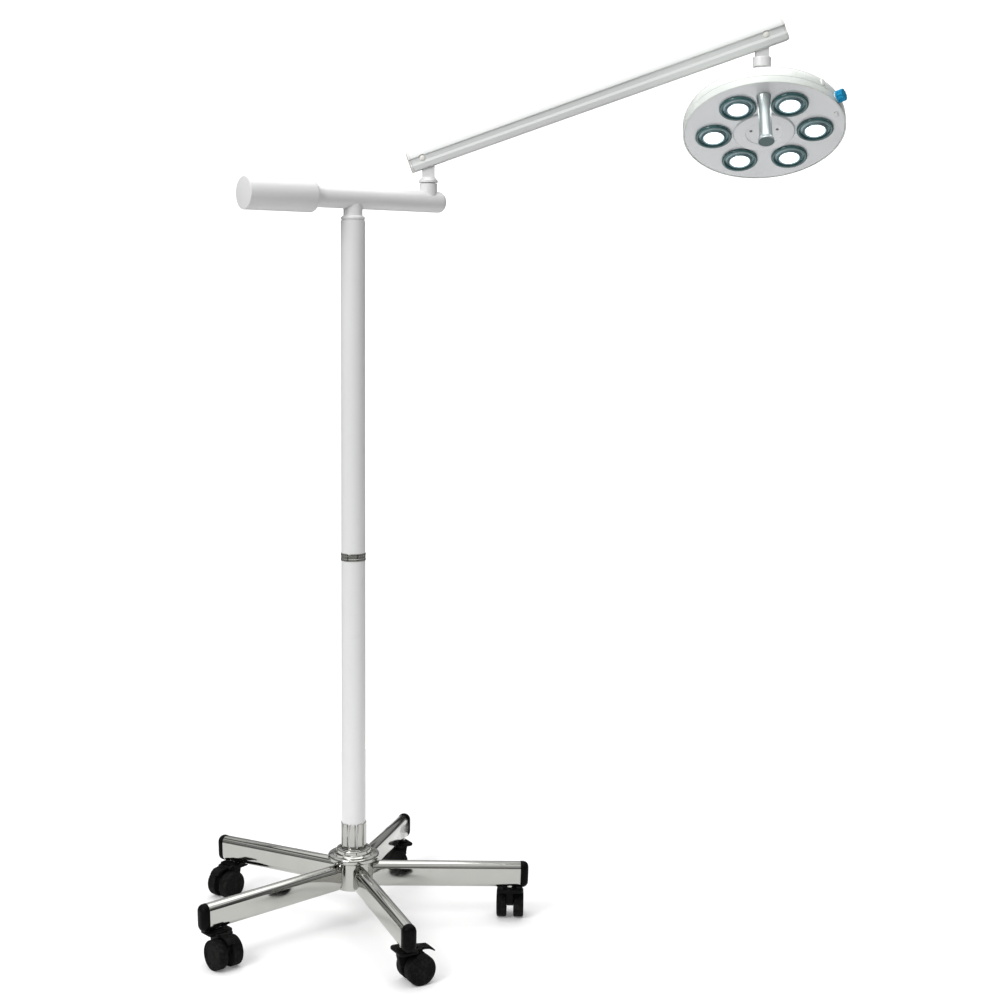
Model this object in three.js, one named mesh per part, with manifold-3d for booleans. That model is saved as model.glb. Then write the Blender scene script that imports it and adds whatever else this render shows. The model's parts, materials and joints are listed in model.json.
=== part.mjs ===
// Mobile examination lamp: five-legged base on braked twin-wheel casters, two-piece column,
// swivelling crossbar with a counterweight, levelled balance arm and a six-module lamp head.
// Millimetres, +Z up. The arm reaches along +X and the lamp faces down and towards -Y.

import * as THREE from "three";
import { mergeVertices } from "three/addons/utils/BufferGeometryUtils.js";
import Module from "manifold-3d";

// ---------------------------------------------------------------- driving dimensions

const GAP = 0.3; // between pieces that touch
const SIDE = 0.8; // between the faces of pieces that turn against each other
const FIT = 0.4; // round a plug or stud that is pushed into a hole
const RUN = 0.1; // between a shaft and the flats of the bore it turns in

const WHEEL = { radius: 30, width: 21, between: 15, cornerOuter: 5, cornerInner: 2.5, dish: 1.5 };
const CASTER = {
  trail: (5 / 6) * WHEEL.radius, // stem to axle, across the floor
  inset: 22, // stem to the end of the leg tube
  axleRadius: 4,
  axleGrip: 16, // length of axle inside each wheel
  stemRadius: 5.5,
  stemLength: 36,
  neckRadius: 15,
  neckDrop: 6,
  bossRadius: 8,
  hoodLength: 40,
  hoodWidth: 54,
  hoodThickness: 6,
  hoodAboveWheel: 4,
};
const PEDAL = { width: 24, reach: 61, drop: 9, thickness: 3.5, barrel: 3, pin: 1.8, ear: 5, hinge: 26 };
// Direction each caster trails in at rest, measured from +X, one for each leg.
const CASTER_HEADINGS = [88, -148, 233, -48, 29];

const LEG = {
  count: 5,
  reach: 352, // column axis to the end of the tube
  turn: 4.2, // first leg from +X
  axisHeight: 2 * WHEEL.radius + 40, // middle of the tube above the caster stem
  slope: 1.7, // down towards the caster
  height: 54,
  width: 28,
  wall: 2.5,
  socketRadius: 10.5, // sleeve inside the tube that holds the caster stem
  socketTop: 4,
  root: 10, // how far inside the hub's radius the tube starts before it is fitted round it
};
const LEG_CAP = { depth: 17, spigot: 9, overhang: 0.8 };

const HUB = { radius: 42, below: 17, above: 31, web: 7, chamfer: 2 };
const FLANGE = { radius: 54, shoulder: 36, height: 26 };
const SOCKET = { wall: 1.3, height: 53, base: 7, fingers: 10, slot: 2 };

const COLUMN = { radius: 25, wall: 2, lower: 683, upper: 686 };
const COUPLING = { height: 15.5, proud: 1, spigot: 60, spigotWall: 3 };

const SWIVEL = { slit: 2, lipRadius: 24.5, lipHeight: 7, neckRadius: 19.5, shaft: 140 };
const CROSSBAR = { radius: 22, wall: 2.5, rise: 45.5, reach: 222, endRound: 11, yaw: 36.5 };
const COUNTERWEIGHT = { radius: 33, length: 158, near: 92, plug: 70, shoulder: 9, edge: 1.5 };

const POST = {
  along: 186, // column axis to post axis, on the crossbar
  stubRadius: 18.4,
  stubHeight: 38.3, // above the crossbar axis
  slit: 1.8,
  shaftRadius: 12.5,
  shaftLength: 44,
  collarRadius: 19.8,
  collarHeight: 5,
  coneHeight: 6.5,
  tongueWidth: 26,
  tongueThickness: 13,
  pinRise: 39.7, // pivot pin above the cone
  pinBack: 13, // pivot pin behind the post axis
  eye: 11,
  sideFront: 16, // below the pin, where the tongue's straight sides end
  sideBack: 17,
  seatWall: 3, // wall of the bore that the shaft turns in
};

const ARM = {
  span: 776, // between the two pivot pins
  tail: 30, // past the post pin
  nose: 45, // past the lamp pin
  depthPost: 44,
  depthLamp: 52,
  width: 30, // at the post end, and wider towards the lamp as the depth grows
  wall: 2.5,
  waist: 2.6, // depth of the groove along each side
  grooveTop: 1, // below the middle of the section
  grooveFoot: 4,
  ridgeTop: 8,
  ridge: 0.8, // how much narrower the ridge under the groove is, on each side
  incline: 20.2,
  yaw: 4,
  slotSide: 1.6, // room beside each tongue
  slotEnd: 3, // room past each tongue at the ends of its travel
  travelUp: 30,
  travelDown: -30,
};
const ARM_CAP = { thickness: 5, spigot: 8, round: 2 };
const PIN = { radius: 4, headRadius: 6.6, headHeight: 2.4 };
const SPRING = { radius: 8.6, wire: 1.3, turns: 9, length: 300, rod: 3, anchor: 3, fromPost: 110, lead: 40 };

const STEM = {
  back: 5, // stem axis behind the lamp pin
  tongueWidth: 28,
  tongueThickness: 14,
  eye: 12,
  drop: 45.2, // lamp pin down to the collar
  collarRadius: 19.2,
  collarHeight: 21.7,
  collarEdge: 3,
  shaftRadius: 8,
  sideFront: 14, // below the pin, where the tongue's straight sides end
  sideBack: 19,
};
const YOKE = { crownRadius: 18, crownHeight: 16, cheek: 5, eye: 13, drop: 47.8, turn: -6 };

const HEAD = {
  radius: 170,
  depth: 79,
  rimBand: 16,
  crown: 2.5, // exponent of the dome's curve
  wall: 3,
  lip: 1,
  ledge: 6,
  knuckle: 31, // tilt pin behind the top of the dome
  knuckleWidth: 24,
  knuckleRadius: 12,
  tilt: 30.1,
};
const FACE = { thickness: 4, turn: 7.1 }; // the pattern of modules is turned on the dome
const MODULE = {
  count: 6,
  circle: 0.6212 * HEAD.radius,
  radius: 38.5,
  neck: 32.4,
  proud: 8,
  lens: 19.8,
  depth: 18,
};
const LED_BOARD = { depth: 24, thickness: 6, margin: 4 };
const DISC = { radius: MODULE.circle - MODULE.radius - 2.1, inner: 37, height: 3, step: 1 };
const HANDLE = {
  out: 0.718 * HEAD.radius, // from the middle of the face
  radius: 13.6,
  length: 112,
  flareRadius: 17,
  flareLength: 9,
  stud: 5,
  studLength: 9,
};
const KNOB = {
  radius: 13,
  length: 15,
  angle: 36,
  depth: 14, // behind the face
  spindle: 2.8,
  seatRadius: 11,
  seat: 1.5,
  sides: 10,
};

const SMALL = 12; // sides of a pin, a stem or a spring
const ROUND = 16; // sides of a small turned piece
const FINE = 28; // sides of a large turned piece

// ---------------------------------------------------------------- heights that follow from them

const DEG = Math.PI / 180;
const legUnderside = LEG.axisHeight - LEG.height / 2;
const hubUnderside = LEG.axisHeight - HUB.below;
const legRise = (LEG.reach - CASTER.inset) * Math.sin(LEG.slope * DEG);
const hubTop = LEG.axisHeight + legRise + HUB.above;
const flangeTop = hubTop + GAP + FLANGE.height;
const columnFoot = hubUnderside + HUB.web + GAP;
const lowerTop = columnFoot + COLUMN.lower;
const ringTop = lowerTop + GAP + COUPLING.height;
const upperFoot = ringTop + GAP;
const columnTop = upperFoot + COLUMN.upper;
const crossbarHeight = columnTop + CROSSBAR.rise;
const collarFoot = POST.stubHeight + POST.slit;
const coneTop = collarFoot + POST.collarHeight + POST.coneHeight;
const postPin = coneTop + POST.pinRise;
const stemEnd = STEM.drop + STEM.collarHeight;
const faceDrop = HEAD.knuckle + HEAD.depth; // tilt pin to the lamp's face

// ---------------------------------------------------------------- shape helpers

const wasm = await Module();
wasm.setup();

/** A closed geometry as a manifold-3d solid. */
function solidOf(geometry) {
  const bare = geometry.index ? geometry.toNonIndexed() : geometry.clone();
  bare.deleteAttribute("normal");
  bare.deleteAttribute("uv");
  const merged = mergeVertices(bare, 1e-4);
  return new wasm.Manifold(
    new wasm.Mesh({
      numProp: 3,
      vertProperties: merged.attributes.position.array,
      triVerts: new Uint32Array(merged.index.array),
    }),
  );
}

/** A manifold-3d solid as a geometry. */
function geometryOf(solid) {
  const mesh = solid.getMesh();
  const count = mesh.vertProperties.length / mesh.numProp;
  const points = new Float32Array(count * 3);
  for (let i = 0; i < count; i++) {
    points.set(mesh.vertProperties.subarray(i * mesh.numProp, i * mesh.numProp + 3), i * 3);
  }
  const geometry = new THREE.BufferGeometry();
  geometry.setAttribute("position", new THREE.BufferAttribute(points, 3));
  geometry.setIndex(new THREE.BufferAttribute(new Uint32Array(mesh.triVerts), 1));
  const flat = geometry.toNonIndexed();
  flat.computeVertexNormals();
  return flat;
}

/** The first geometry with the others joined to it. */
function join(first, ...others) {
  return geometryOf(others.reduce((sum, other) => sum.add(solidOf(other)), solidOf(first)));
}

/** The first geometry with the others cut out of it. */
function cut(first, ...others) {
  return geometryOf(others.reduce((rest, other) => rest.subtract(solidOf(other)), solidOf(first)));
}

/** Points [radius, height] turned about Z. A profile that misses the axis closes on itself. */
function turned(profile, sides = ROUND) {
  const last = profile.length - 1;
  const onAxis = profile[0][0] === 0 && profile[last][0] === 0;
  const loop = onAxis ? profile : [...profile, profile[0]];
  let area = 0;
  for (let i = 0; i < profile.length; i++) {
    const [r0, h0] = profile[i];
    const [r1, h1] = profile[(i + 1) % profile.length];
    area += r0 * h1 - r1 * h0;
  }
  const points = loop.map(([radius, height]) => new THREE.Vector2(radius, height));
  if (area < 0) points.reverse();
  return new THREE.LatheGeometry(points, sides).rotateX(Math.PI / 2);
}

/** A cylinder along Z between two heights. */
function rod(radius, from, to, sides = ROUND) {
  return turned([[0, from], [radius, from], [radius, to], [0, to]], sides);
}

/** Radius of a bore whose flats just clear a shaft that turns in it. */
const boreFor = (shaft, sides) => (shaft + RUN) / Math.cos(Math.PI / sides);

/** Radius of a shaft that just turns in a bore with flats. */
const shaftFor = (bore, sides) => bore * Math.cos(Math.PI / sides) - RUN;

/** The same geometry with its Z axis laid along X. */
const alongX = (geometry) => geometry.rotateY(Math.PI / 2);

/** The same geometry with its Z axis laid along Y. */
const alongY = (geometry) => geometry.rotateX(-Math.PI / 2);

/** A box between two corners. */
function box([x0, y0, z0], [x1, y1, z1]) {
  const made = new THREE.BoxGeometry(x1 - x0, y1 - y0, z1 - z0);
  return made.translate((x0 + x1) / 2, (y0 + y1) / 2, (z0 + z1) / 2);
}

/** Points on an arc, in degrees, both ends included. */
function arc(x, y, radius, from, to, steps) {
  const points = [];
  for (let i = 0; i <= steps; i++) {
    const angle = (from + ((to - from) * i) / steps) * DEG;
    points.push([x + radius * Math.cos(angle), y + radius * Math.sin(angle)]);
  }
  return points;
}

/** A closed outline as a shape. */
function outline(points) {
  return new THREE.Shape(points.map(([x, y]) => new THREE.Vector2(x, y)));
}

/** An outline in X and Z, with its thickness centred along Y. */
function plateXZ(points, thickness) {
  const made = new THREE.ExtrudeGeometry(outline(points), { depth: thickness, bevelEnabled: false });
  return made.rotateX(Math.PI / 2).translate(0, thickness / 2, 0);
}

/** An outline in X and Y, standing on a height. */
function plateXY(points, from, thickness) {
  const made = new THREE.ExtrudeGeometry(outline(points), { depth: thickness, bevelEnabled: false });
  return made.translate(0, 0, from);
}

/** An outline in Y and Z, run along X between two places. */
function barYZ(points, from, to, hole) {
  const shape = outline(points);
  if (hole) shape.holes.push(new THREE.Path(hole.map(([x, y]) => new THREE.Vector2(x, y))));
  const made = new THREE.ExtrudeGeometry(shape, { depth: to - from, bevelEnabled: false });
  const axes = new THREE.Matrix4().makeBasis(
    new THREE.Vector3(0, 1, 0),
    new THREE.Vector3(0, 0, 1),
    new THREE.Vector3(1, 0, 0),
  );
  return made.applyMatrix4(axes).translate(from, 0, 0);
}

/** A rounded rectangle centred on the origin. */
function roundedRectangle(length, width, radius, steps = 2) {
  const x = length / 2 - radius;
  const y = width / 2 - radius;
  return [
    ...arc(x, y, radius, 0, 90, steps),
    ...arc(-x, y, radius, 90, 180, steps),
    ...arc(-x, -y, radius, 180, 270, steps),
    ...arc(x, -y, radius, 270, 360, steps),
  ];
}

/** A flat oval standing on end, centred on the origin. */
function flatOval(width, height, steps = 6) {
  const radius = width / 2;
  const centre = height / 2 - radius;
  return [...arc(0, centre, radius, 0, 180, steps), ...arc(0, -centre, radius, 180, 360, steps)];
}

// ---------------------------------------------------------------- materials

/** A plain finish. */
function finish(color, roughness, metalness) {
  return new THREE.MeshStandardMaterial({ color, roughness, metalness });
}

const MATERIALS = {
  whitePaint: finish(0xe4e4e2, 0.35, 0),
  housing: finish(0xeef3f0, 0.3, 0),
  face: finish(0xd3d6da, 0.3, 0),
  polishedSteel: finish(0xc2c2be, 0.15, 1),
  satinSteel: finish(0xaab4b4, 0.35, 1),
  blackPlastic: finish(0x101010, 0.45, 0),
  wheel: finish(0x161616, 0.6, 0),
  bezel: finish(0x2c5652, 0.25, 0.8),
  lens: finish(0xffffff, 0.2, 0),
  blueKnob: finish(0x2a8fbe, 0.35, 0),
  springSteel: finish(0x6a6e70, 0.4, 1),
};

// ---------------------------------------------------------------- scene graph helpers

/** A named mesh added to its group. */
function add(group, name, geometry, material) {
  const mesh = new THREE.Mesh(geometry, material);
  mesh.name = name;
  group.add(mesh);
  return mesh;
}

/** A group placed in its parent, turned about Z. */
function placed(parent, name, x, y, z, turn = 0) {
  const group = new THREE.Group();
  group.name = name;
  group.position.set(x, y, z);
  group.rotation.z = turn * DEG;
  parent.add(group);
  return group;
}

// ---------------------------------------------------------------- casters

/** One wheel, its bore open towards the other wheel. Its inner side is at height 0. */
function wheelGeometry() {
  const { radius, width, cornerOuter, cornerInner, dish } = WHEEL;
  const bore = boreFor(CASTER.axleRadius, ROUND);
  const boreEnd = CASTER.axleGrip + SIDE;
  const rim = radius - cornerOuter;
  return turned([
    [0, boreEnd],
    [bore, boreEnd],
    [bore, 0],
    [radius - cornerInner, 0],
    [radius, cornerInner],
    [radius, width - cornerOuter],
    ...arc(rim, width - cornerOuter, cornerOuter, 45, 90, 1),
    [rim - 2 * dish, width - dish],
    [0, width - dish],
  ]);
}

/** The web between the wheels, seen from the side. */
function forkOutline() {
  const top = 2 * WHEEL.radius + CASTER.hoodAboveWheel + CASTER.hoodThickness / 2;
  const axle = CASTER.trail;
  const neck = CASTER.neckRadius;
  const boss = CASTER.bossRadius;
  const reach = WHEEL.radius - CASTER.bossRadius;
  return [
    [-neck, top],
    [-neck, 0.85 * top],
    [-0.7 * neck, 0.62 * top],
    ...arc(axle, WHEEL.radius, boss, 215, 325, 3),
    [axle + 0.85 * reach, WHEEL.radius + 0.2 * reach],
    [axle + reach, WHEEL.radius + 0.7 * reach],
    [axle + 0.5 * reach, 2 * WHEEL.radius - 1],
    [axle - 3, 2 * WHEEL.radius],
    [CASTER.hoodLength / 2 - 1, top],
  ];
}

/** Hood, web, stem and axle, with two ears that hold the pedal. */
function forkGeometry() {
  const hoodFoot = 2 * WHEEL.radius + CASTER.hoodAboveWheel;
  const hoodTop = hoodFoot + CASTER.hoodThickness;
  const neckTop = legUnderside - 1;
  const axleHalf = WHEEL.between / 2 + CASTER.axleGrip;
  const earIn = PEDAL.width / 2 + SIDE;
  const hood = roundedRectangle(CASTER.hoodLength, CASTER.hoodWidth, 7);
  const pieces = [
    plateXY(hood, hoodFoot, CASTER.hoodThickness),
    rod(CASTER.neckRadius, neckTop - CASTER.neckDrop, neckTop, ROUND),
    rod(CASTER.stemRadius, neckTop - 1, neckTop + CASTER.stemLength, SMALL),
    alongY(rod(CASTER.axleRadius, -axleHalf, axleHalf, SMALL)).translate(CASTER.trail, 0, WHEEL.radius),
  ];
  for (const side of [-1, 1]) {
    const near = Math.min(side * earIn, side * (earIn + PEDAL.ear));
    const low = [CASTER.hoodLength / 2 - 4, near, hoodFoot];
    pieces.push(box(low, [PEDAL.hinge + 5, near + PEDAL.ear, hoodTop]));
  }
  const web = plateXZ(forkOutline(), WHEEL.between - 2 * SIDE);
  const pinHole = alongY(rod(boreFor(PEDAL.pin, SMALL), -CASTER.hoodWidth, CASTER.hoodWidth, SMALL));
  const room = [CASTER.hoodLength / 2 + 0.01, -earIn, hoodFoot - 2];
  return cut(
    join(web, ...pieces),
    pinHole.translate(PEDAL.hinge, 0, pedalHeight()),
    box(room, [PEDAL.hinge + 6, earIn, hoodTop + 1]),
  );
}

/** Height of the pedal's hinge pin. */
function pedalHeight() {
  return 2 * WHEEL.radius + CASTER.hoodAboveWheel + CASTER.hoodThickness / 2;
}

/** Foot pedal with its own hinge pin. */
function pedalGeometry() {
  const { hinge, reach, drop, thickness, barrel, width } = PEDAL;
  const z = pedalHeight();
  const blade = [
    [hinge, z + barrel],
    [hinge, z - barrel + 0.6],
    [hinge + 0.5 * (reach - hinge), z - thickness / 2 - 0.1 * drop],
    [reach - 2, z - drop - thickness / 2],
    [reach, z - drop],
    [reach - 1, z - drop + thickness / 2],
    [hinge + 0.5 * (reach - hinge), z + thickness / 2],
  ];
  const pinHalf = width / 2 + SIDE + PEDAL.ear - 1;
  return join(
    plateXZ(blade, width),
    alongY(rod(barrel, -width / 2, width / 2, SMALL)).translate(hinge, 0, z),
    alongY(rod(PEDAL.pin, -pinHalf, pinHalf, SMALL)).translate(hinge, 0, z),
  );
}

/** The casters, one under the end of each leg. */
function addCasters(base) {
  const fork = forkGeometry();
  const wheel = wheelGeometry();
  const pedal = pedalGeometry();
  const radius = LEG.reach - CASTER.inset;
  for (let i = 0; i < LEG.count; i++) {
    const angle = (LEG.turn + (360 / LEG.count) * i) * DEG;
    const [x, y] = [radius * Math.cos(angle), radius * Math.sin(angle)];
    const number = i + 1;
    const swivel = placed(base, `caster_swivel_${number}`, x, y, 0, CASTER_HEADINGS[i]);
    add(swivel, `caster_fork_${number}`, fork, MATERIALS.blackPlastic);
    const hinge = placed(swivel, `pedal_hinge_${number}`, PEDAL.hinge, 0, pedalHeight());
    const lever = add(hinge, `brake_pedal_${number}`, pedal, MATERIALS.blackPlastic);
    lever.position.set(-PEDAL.hinge, 0, -pedalHeight());
    for (const [side, letter] of [[-1, "a"], [1, "b"]]) {
      const axle = placed(swivel, `wheel_spin_${number}${letter}`, CASTER.trail, 0, WHEEL.radius);
      const tyre = add(axle, `caster_wheel_${number}${letter}`, wheel, MATERIALS.wheel);
      tyre.position.y = (side * WHEEL.between) / 2;
      tyre.rotation.x = (-side * Math.PI) / 2;
    }
  }
}

// ---------------------------------------------------------------- base

/** A piece of a leg, sloped about the middle of the tube above the caster stem. */
function sloped(geometry) {
  const stem = LEG.reach - CASTER.inset;
  return geometry.translate(-stem, 0, 0).rotateY(LEG.slope * DEG).translate(stem, 0, 0);
}

/** A leg along +X: flat oval tube, fitted round the hub, with a socket for the caster stem. */
function legGeometry() {
  const inner = flatOval(LEG.width - 2 * LEG.wall, LEG.height - 2 * LEG.wall);
  const start = HUB.radius - LEG.root;
  const tube = barYZ(flatOval(LEG.width, LEG.height), start, LEG.reach, inner.reverse());
  const stem = LEG.reach - CASTER.inset;
  const stemTop = legUnderside - 1 + CASTER.stemLength - LEG.axisHeight;
  const floor = -LEG.height / 2 + LEG.wall / 2;
  const bore = boreFor(CASTER.stemRadius, SMALL);
  const sleeve = rod(LEG.socketRadius, floor, stemTop + LEG.socketTop, SMALL).translate(stem, 0, 0);
  const hole = rod(bore, -LEG.height, stemTop + 1, SMALL).translate(stem, 0, 0);
  const drum = rod(HUB.radius + GAP, -LEG.height, LEG.height, FINE);
  return cut(join(sloped(tube), sleeve), hole, drum);
}

/** A domed plug for the end of a leg. */
function legCapGeometry() {
  const { depth, spigot, overhang } = LEG_CAP;
  const start = LEG.reach + GAP;
  const rings = [
    [0, 1],
    [0.5, 0.97],
    [0.85, 0.82],
    [1, 0.5],
  ];
  const width = LEG.width + 2 * overhang;
  const height = LEG.height + 2 * overhang;
  const slices = rings.map(([along, size]) => [
    start + along * depth,
    flatOval(width, height).map(([y, z]) => [y * size, z * (1 - (1 - size) * 0.55)]),
  ]);
  const fit = 2 * (LEG.wall + FIT);
  const plug = barYZ(flatOval(LEG.width - fit, LEG.height - fit), LEG.reach - spigot, start + 2);
  return sloped(join(lofted(slices), plug));
}

/** A closed solid through outlines in Y and Z, each at its own X. */
function lofted(slices) {
  const count = slices[0][1].length;
  const points = slices.flatMap(([x, ring]) => ring.map(([y, z]) => [x, y, z]));
  const faces = [];
  for (let s = 0; s + 1 < slices.length; s++) {
    for (let i = 0; i < count; i++) {
      const a = s * count + i;
      const b = s * count + ((i + 1) % count);
      faces.push([a, b, b + count], [a, b + count, a + count]);
    }
  }
  const last = (slices.length - 1) * count;
  for (let i = 1; i + 1 < count; i++) {
    faces.push([0, i + 1, i], [last, last + i, last + i + 1]);
  }
  const geometry = new THREE.BufferGeometry();
  const flat = new Float32Array(points.flat());
  geometry.setAttribute("position", new THREE.BufferAttribute(flat, 3));
  geometry.setIndex(faces.flat());
  return geometry.toNonIndexed();
}

/** Drum that the legs are welded to, with a blind bore for the column. */
function hubGeometry() {
  const bore = COLUMN.radius + GAP;
  const { radius, chamfer, web } = HUB;
  return turned(
    [
      [0, hubUnderside],
      [radius - chamfer, hubUnderside],
      [radius, hubUnderside + chamfer],
      [radius, hubTop],
      [bore, hubTop],
      [bore, hubUnderside + web],
      [0, hubUnderside + web],
    ],
    FINE,
  );
}

/** Stepped cover ring on top of the hub. */
function flangeGeometry() {
  const foot = hubTop + GAP;
  const { radius, shoulder, height } = FLANGE;
  const bore = COLUMN.radius + GAP;
  const rim = radius - 4;
  return turned(
    [
      [bore, foot],
      [rim, foot],
      [radius, foot + 4],
      [radius, foot + 0.3 * height],
      [rim, foot + 0.46 * height],
      [shoulder + 2, foot + 0.62 * height],
      [shoulder, foot + 0.85 * height],
      [shoulder - 3, foot + height],
      [bore, foot + height],
    ],
    FINE,
  );
}

/** Slotted sleeve whose fingers grip the foot of the column. */
function socketGeometry() {
  const foot = flangeTop + GAP;
  const bore = COLUMN.radius + GAP;
  const outer = bore + SOCKET.wall;
  const top = foot + SOCKET.height;
  const sleeve = turned([[bore, foot], [outer, foot], [outer, top], [bore, top]], FINE);
  const slots = [];
  for (let i = 0; i < SOCKET.fingers; i++) {
    const low = [bore - 2, -SOCKET.slot / 2, foot + SOCKET.base];
    const slot = box(low, [outer + 2, SOCKET.slot / 2, top + 1]);
    slots.push(slot.rotateZ((360 / SOCKET.fingers) * i * DEG));
  }
  return cut(sleeve, ...slots);
}

/** Hub, cover ring, column socket, legs and their caps. */
function addBase(base) {
  add(base, "hub", hubGeometry(), MATERIALS.polishedSteel);
  add(base, "hub_flange", flangeGeometry(), MATERIALS.polishedSteel);
  add(base, "column_socket", socketGeometry(), MATERIALS.polishedSteel);
  const leg = legGeometry();
  const cap = legCapGeometry();
  for (let i = 0; i < LEG.count; i++) {
    const turn = LEG.turn + (360 / LEG.count) * i;
    const spoke = placed(base, `spoke_${i + 1}`, 0, 0, LEG.axisHeight, turn);
    add(spoke, `leg_${i + 1}`, leg, MATERIALS.polishedSteel);
    add(spoke, `leg_end_cap_${i + 1}`, cap, MATERIALS.blackPlastic);
  }
}

// ---------------------------------------------------------------- column

/** A plain tube of the column. */
function columnTube(foot, top) {
  const inner = COLUMN.radius - COLUMN.wall;
  return turned([[inner, foot], [COLUMN.radius, foot], [COLUMN.radius, top], [inner, top]], FINE);
}

/** Ring between the tubes, with a hollow spigot into each. */
function couplingGeometry() {
  const outer = COLUMN.radius + COUPLING.proud;
  const spigot = COLUMN.radius - COLUMN.wall - GAP;
  const inner = spigot - COUPLING.spigotWall;
  const foot = lowerTop + GAP;
  return turned(
    [
      [inner, foot - COUPLING.spigot],
      [spigot, foot - COUPLING.spigot],
      [spigot, foot],
      [outer, foot],
      [outer, ringTop],
      [spigot, ringTop],
      [spigot, ringTop + COUPLING.spigot],
      [inner, ringTop + COUPLING.spigot],
    ],
    FINE,
  );
}

/** The two tubes of the column and the ring that couples them. */
function addColumn(base) {
  add(base, "column_lower", columnTube(columnFoot, lowerTop), MATERIALS.whitePaint);
  add(base, "column_coupling", couplingGeometry(), MATERIALS.polishedSteel);
  add(base, "column_upper", columnTube(upperFoot, columnTop), MATERIALS.whitePaint);
}

// ---------------------------------------------------------------- crossbar

/** Shaft, lip and neck under the crossbar, cut to sit round it. The crossbar axis is at 0. */
function neckGeometry() {
  const lipFoot = -CROSSBAR.rise + SWIVEL.slit;
  const shaft = shaftFor(COLUMN.radius - COLUMN.wall, FINE);
  const neck = SWIVEL.neckRadius;
  const profile = [
    [0, lipFoot - SWIVEL.shaft],
    [shaft - 2, lipFoot - SWIVEL.shaft],
    [shaft, lipFoot - SWIVEL.shaft + 2],
    [shaft, lipFoot],
    [SWIVEL.lipRadius, lipFoot],
    [SWIVEL.lipRadius, lipFoot + 0.45 * SWIVEL.lipHeight],
    [neck, lipFoot + SWIVEL.lipHeight],
    [neck, 0],
    [0, 0],
  ];
  const bar = alongX(rod(CROSSBAR.radius + GAP, -CROSSBAR.reach, CROSSBAR.reach, FINE));
  return cut(turned(profile, FINE), bar);
}

/** Hollow bar with one closed rounded end and the stub that the arm's post turns in. */
function crossbarGeometry() {
  const { radius, wall, reach, endRound } = CROSSBAR;
  const start = -(COUNTERWEIGHT.near + COUNTERWEIGHT.plug);
  const corner = radius - endRound;
  const bar = turned(
    [[0, start], [radius, start], ...arc(corner, reach - endRound, endRound, 0, 90, 4), [0, reach]],
    FINE,
  );
  const hollow = rod(radius - wall, start - 1, reach - endRound, ROUND);
  const stub = rod(POST.stubRadius, 0, POST.stubHeight, FINE);
  const bore = boreFor(POST.shaftRadius, ROUND);
  const boreFoot = POST.stubHeight - POST.shaftLength - 2;
  const body = join(alongX(bar), stub.translate(POST.along, 0, 0));
  const seat = rod(bore + POST.seatWall, -radius + wall / 2, POST.stubHeight - 1, ROUND).translate(POST.along, 0, 0);
  const tube = join(cut(body, alongX(hollow)), seat);
  return cut(tube, rod(bore, boreFoot, POST.stubHeight + 1, ROUND).translate(POST.along, 0, 0));
}

/** Solid steel weight with a blind bore that takes the end of the crossbar. */
function counterweightGeometry() {
  const { radius, length, near, plug, shoulder, edge } = COUNTERWEIGHT;
  const bore = CROSSBAR.radius + GAP;
  const floor = near + plug + GAP;
  const far = near + length;
  const profile = [
    [0, floor],
    [bore, floor],
    [bore, near],
    ...arc(radius - shoulder, near + shoulder, shoulder, 270, 360, 4),
    [radius, far - edge],
    [radius - edge, far],
    [0, far],
  ];
  return alongX(turned(profile, FINE)).rotateZ(Math.PI);
}

/** Everything that turns on the column with the crossbar. */
function addCrossbar(parent) {
  const top = placed(parent, "crossbar_swivel", 0, 0, crossbarHeight, CROSSBAR.yaw);
  add(top, "swivel_neck", neckGeometry(), MATERIALS.whitePaint);
  add(top, "crossbar", crossbarGeometry(), MATERIALS.whitePaint);
  add(top, "counterweight", counterweightGeometry(), MATERIALS.whitePaint);
  return top;
}

// ---------------------------------------------------------------- arm post

/** Shaft, collar and tongue that carry the arm. The post axis is Z and the crossbar axis is at 0. */
function postGeometry() {
  const foot = POST.stubHeight - POST.shaftLength;
  const collarTop = collarFoot + POST.collarHeight;
  const half = POST.tongueWidth / 2;
  const turnedPart = turned([
    [0, foot],
    [POST.shaftRadius, foot],
    [POST.shaftRadius, collarFoot],
    [POST.collarRadius, collarFoot],
    [POST.collarRadius, collarTop],
    [half + 1, coneTop],
    [0, coneTop],
  ]);
  const pinX = -POST.pinBack;
  const tongue = [
    [-half, collarTop],
    [half, collarTop],
    [half, postPin - POST.sideFront],
    ...arc(pinX, postPin, POST.eye, 30, 190, 6),
    [-half, postPin - POST.sideBack],
  ];
  const hole = alongY(rod(boreFor(PIN.radius, ROUND), -POST.tongueThickness, POST.tongueThickness));
  return cut(join(turnedPart, plateXZ(tongue, POST.tongueThickness)), hole.translate(pinX, 0, postPin));
}

/** The post in the crossbar's stub. */
function addPost(top) {
  const post = placed(top, "post_swivel", POST.along, 0, 0, ARM.yaw - CROSSBAR.yaw);
  add(post, "arm_post", postGeometry(), MATERIALS.whitePaint);
  return post;
}

// ---------------------------------------------------------------- arm

/** The arm's section at the post end, taken in by an even amount. */
function armSection(inset) {
  const radius = ARM.width / 2;
  const top = ARM.depthPost / 2;
  const waist = radius - ARM.waist - inset;
  const ridge = radius - ARM.ridge - inset;
  const half = [
    ...arc(0, top - radius, radius - inset, 90, -12, 5),
    [waist, -ARM.grooveTop],
    [waist, -ARM.grooveFoot],
    [ridge, -ARM.ridgeTop],
    [ridge - 0.6, -0.72 * top],
    [0.55 * ridge, -top + inset],
  ];
  const mirrored = half.slice(1).reverse();
  return [...half, ...mirrored.map(([y, z]) => [-y, z])].reverse();
}

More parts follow.
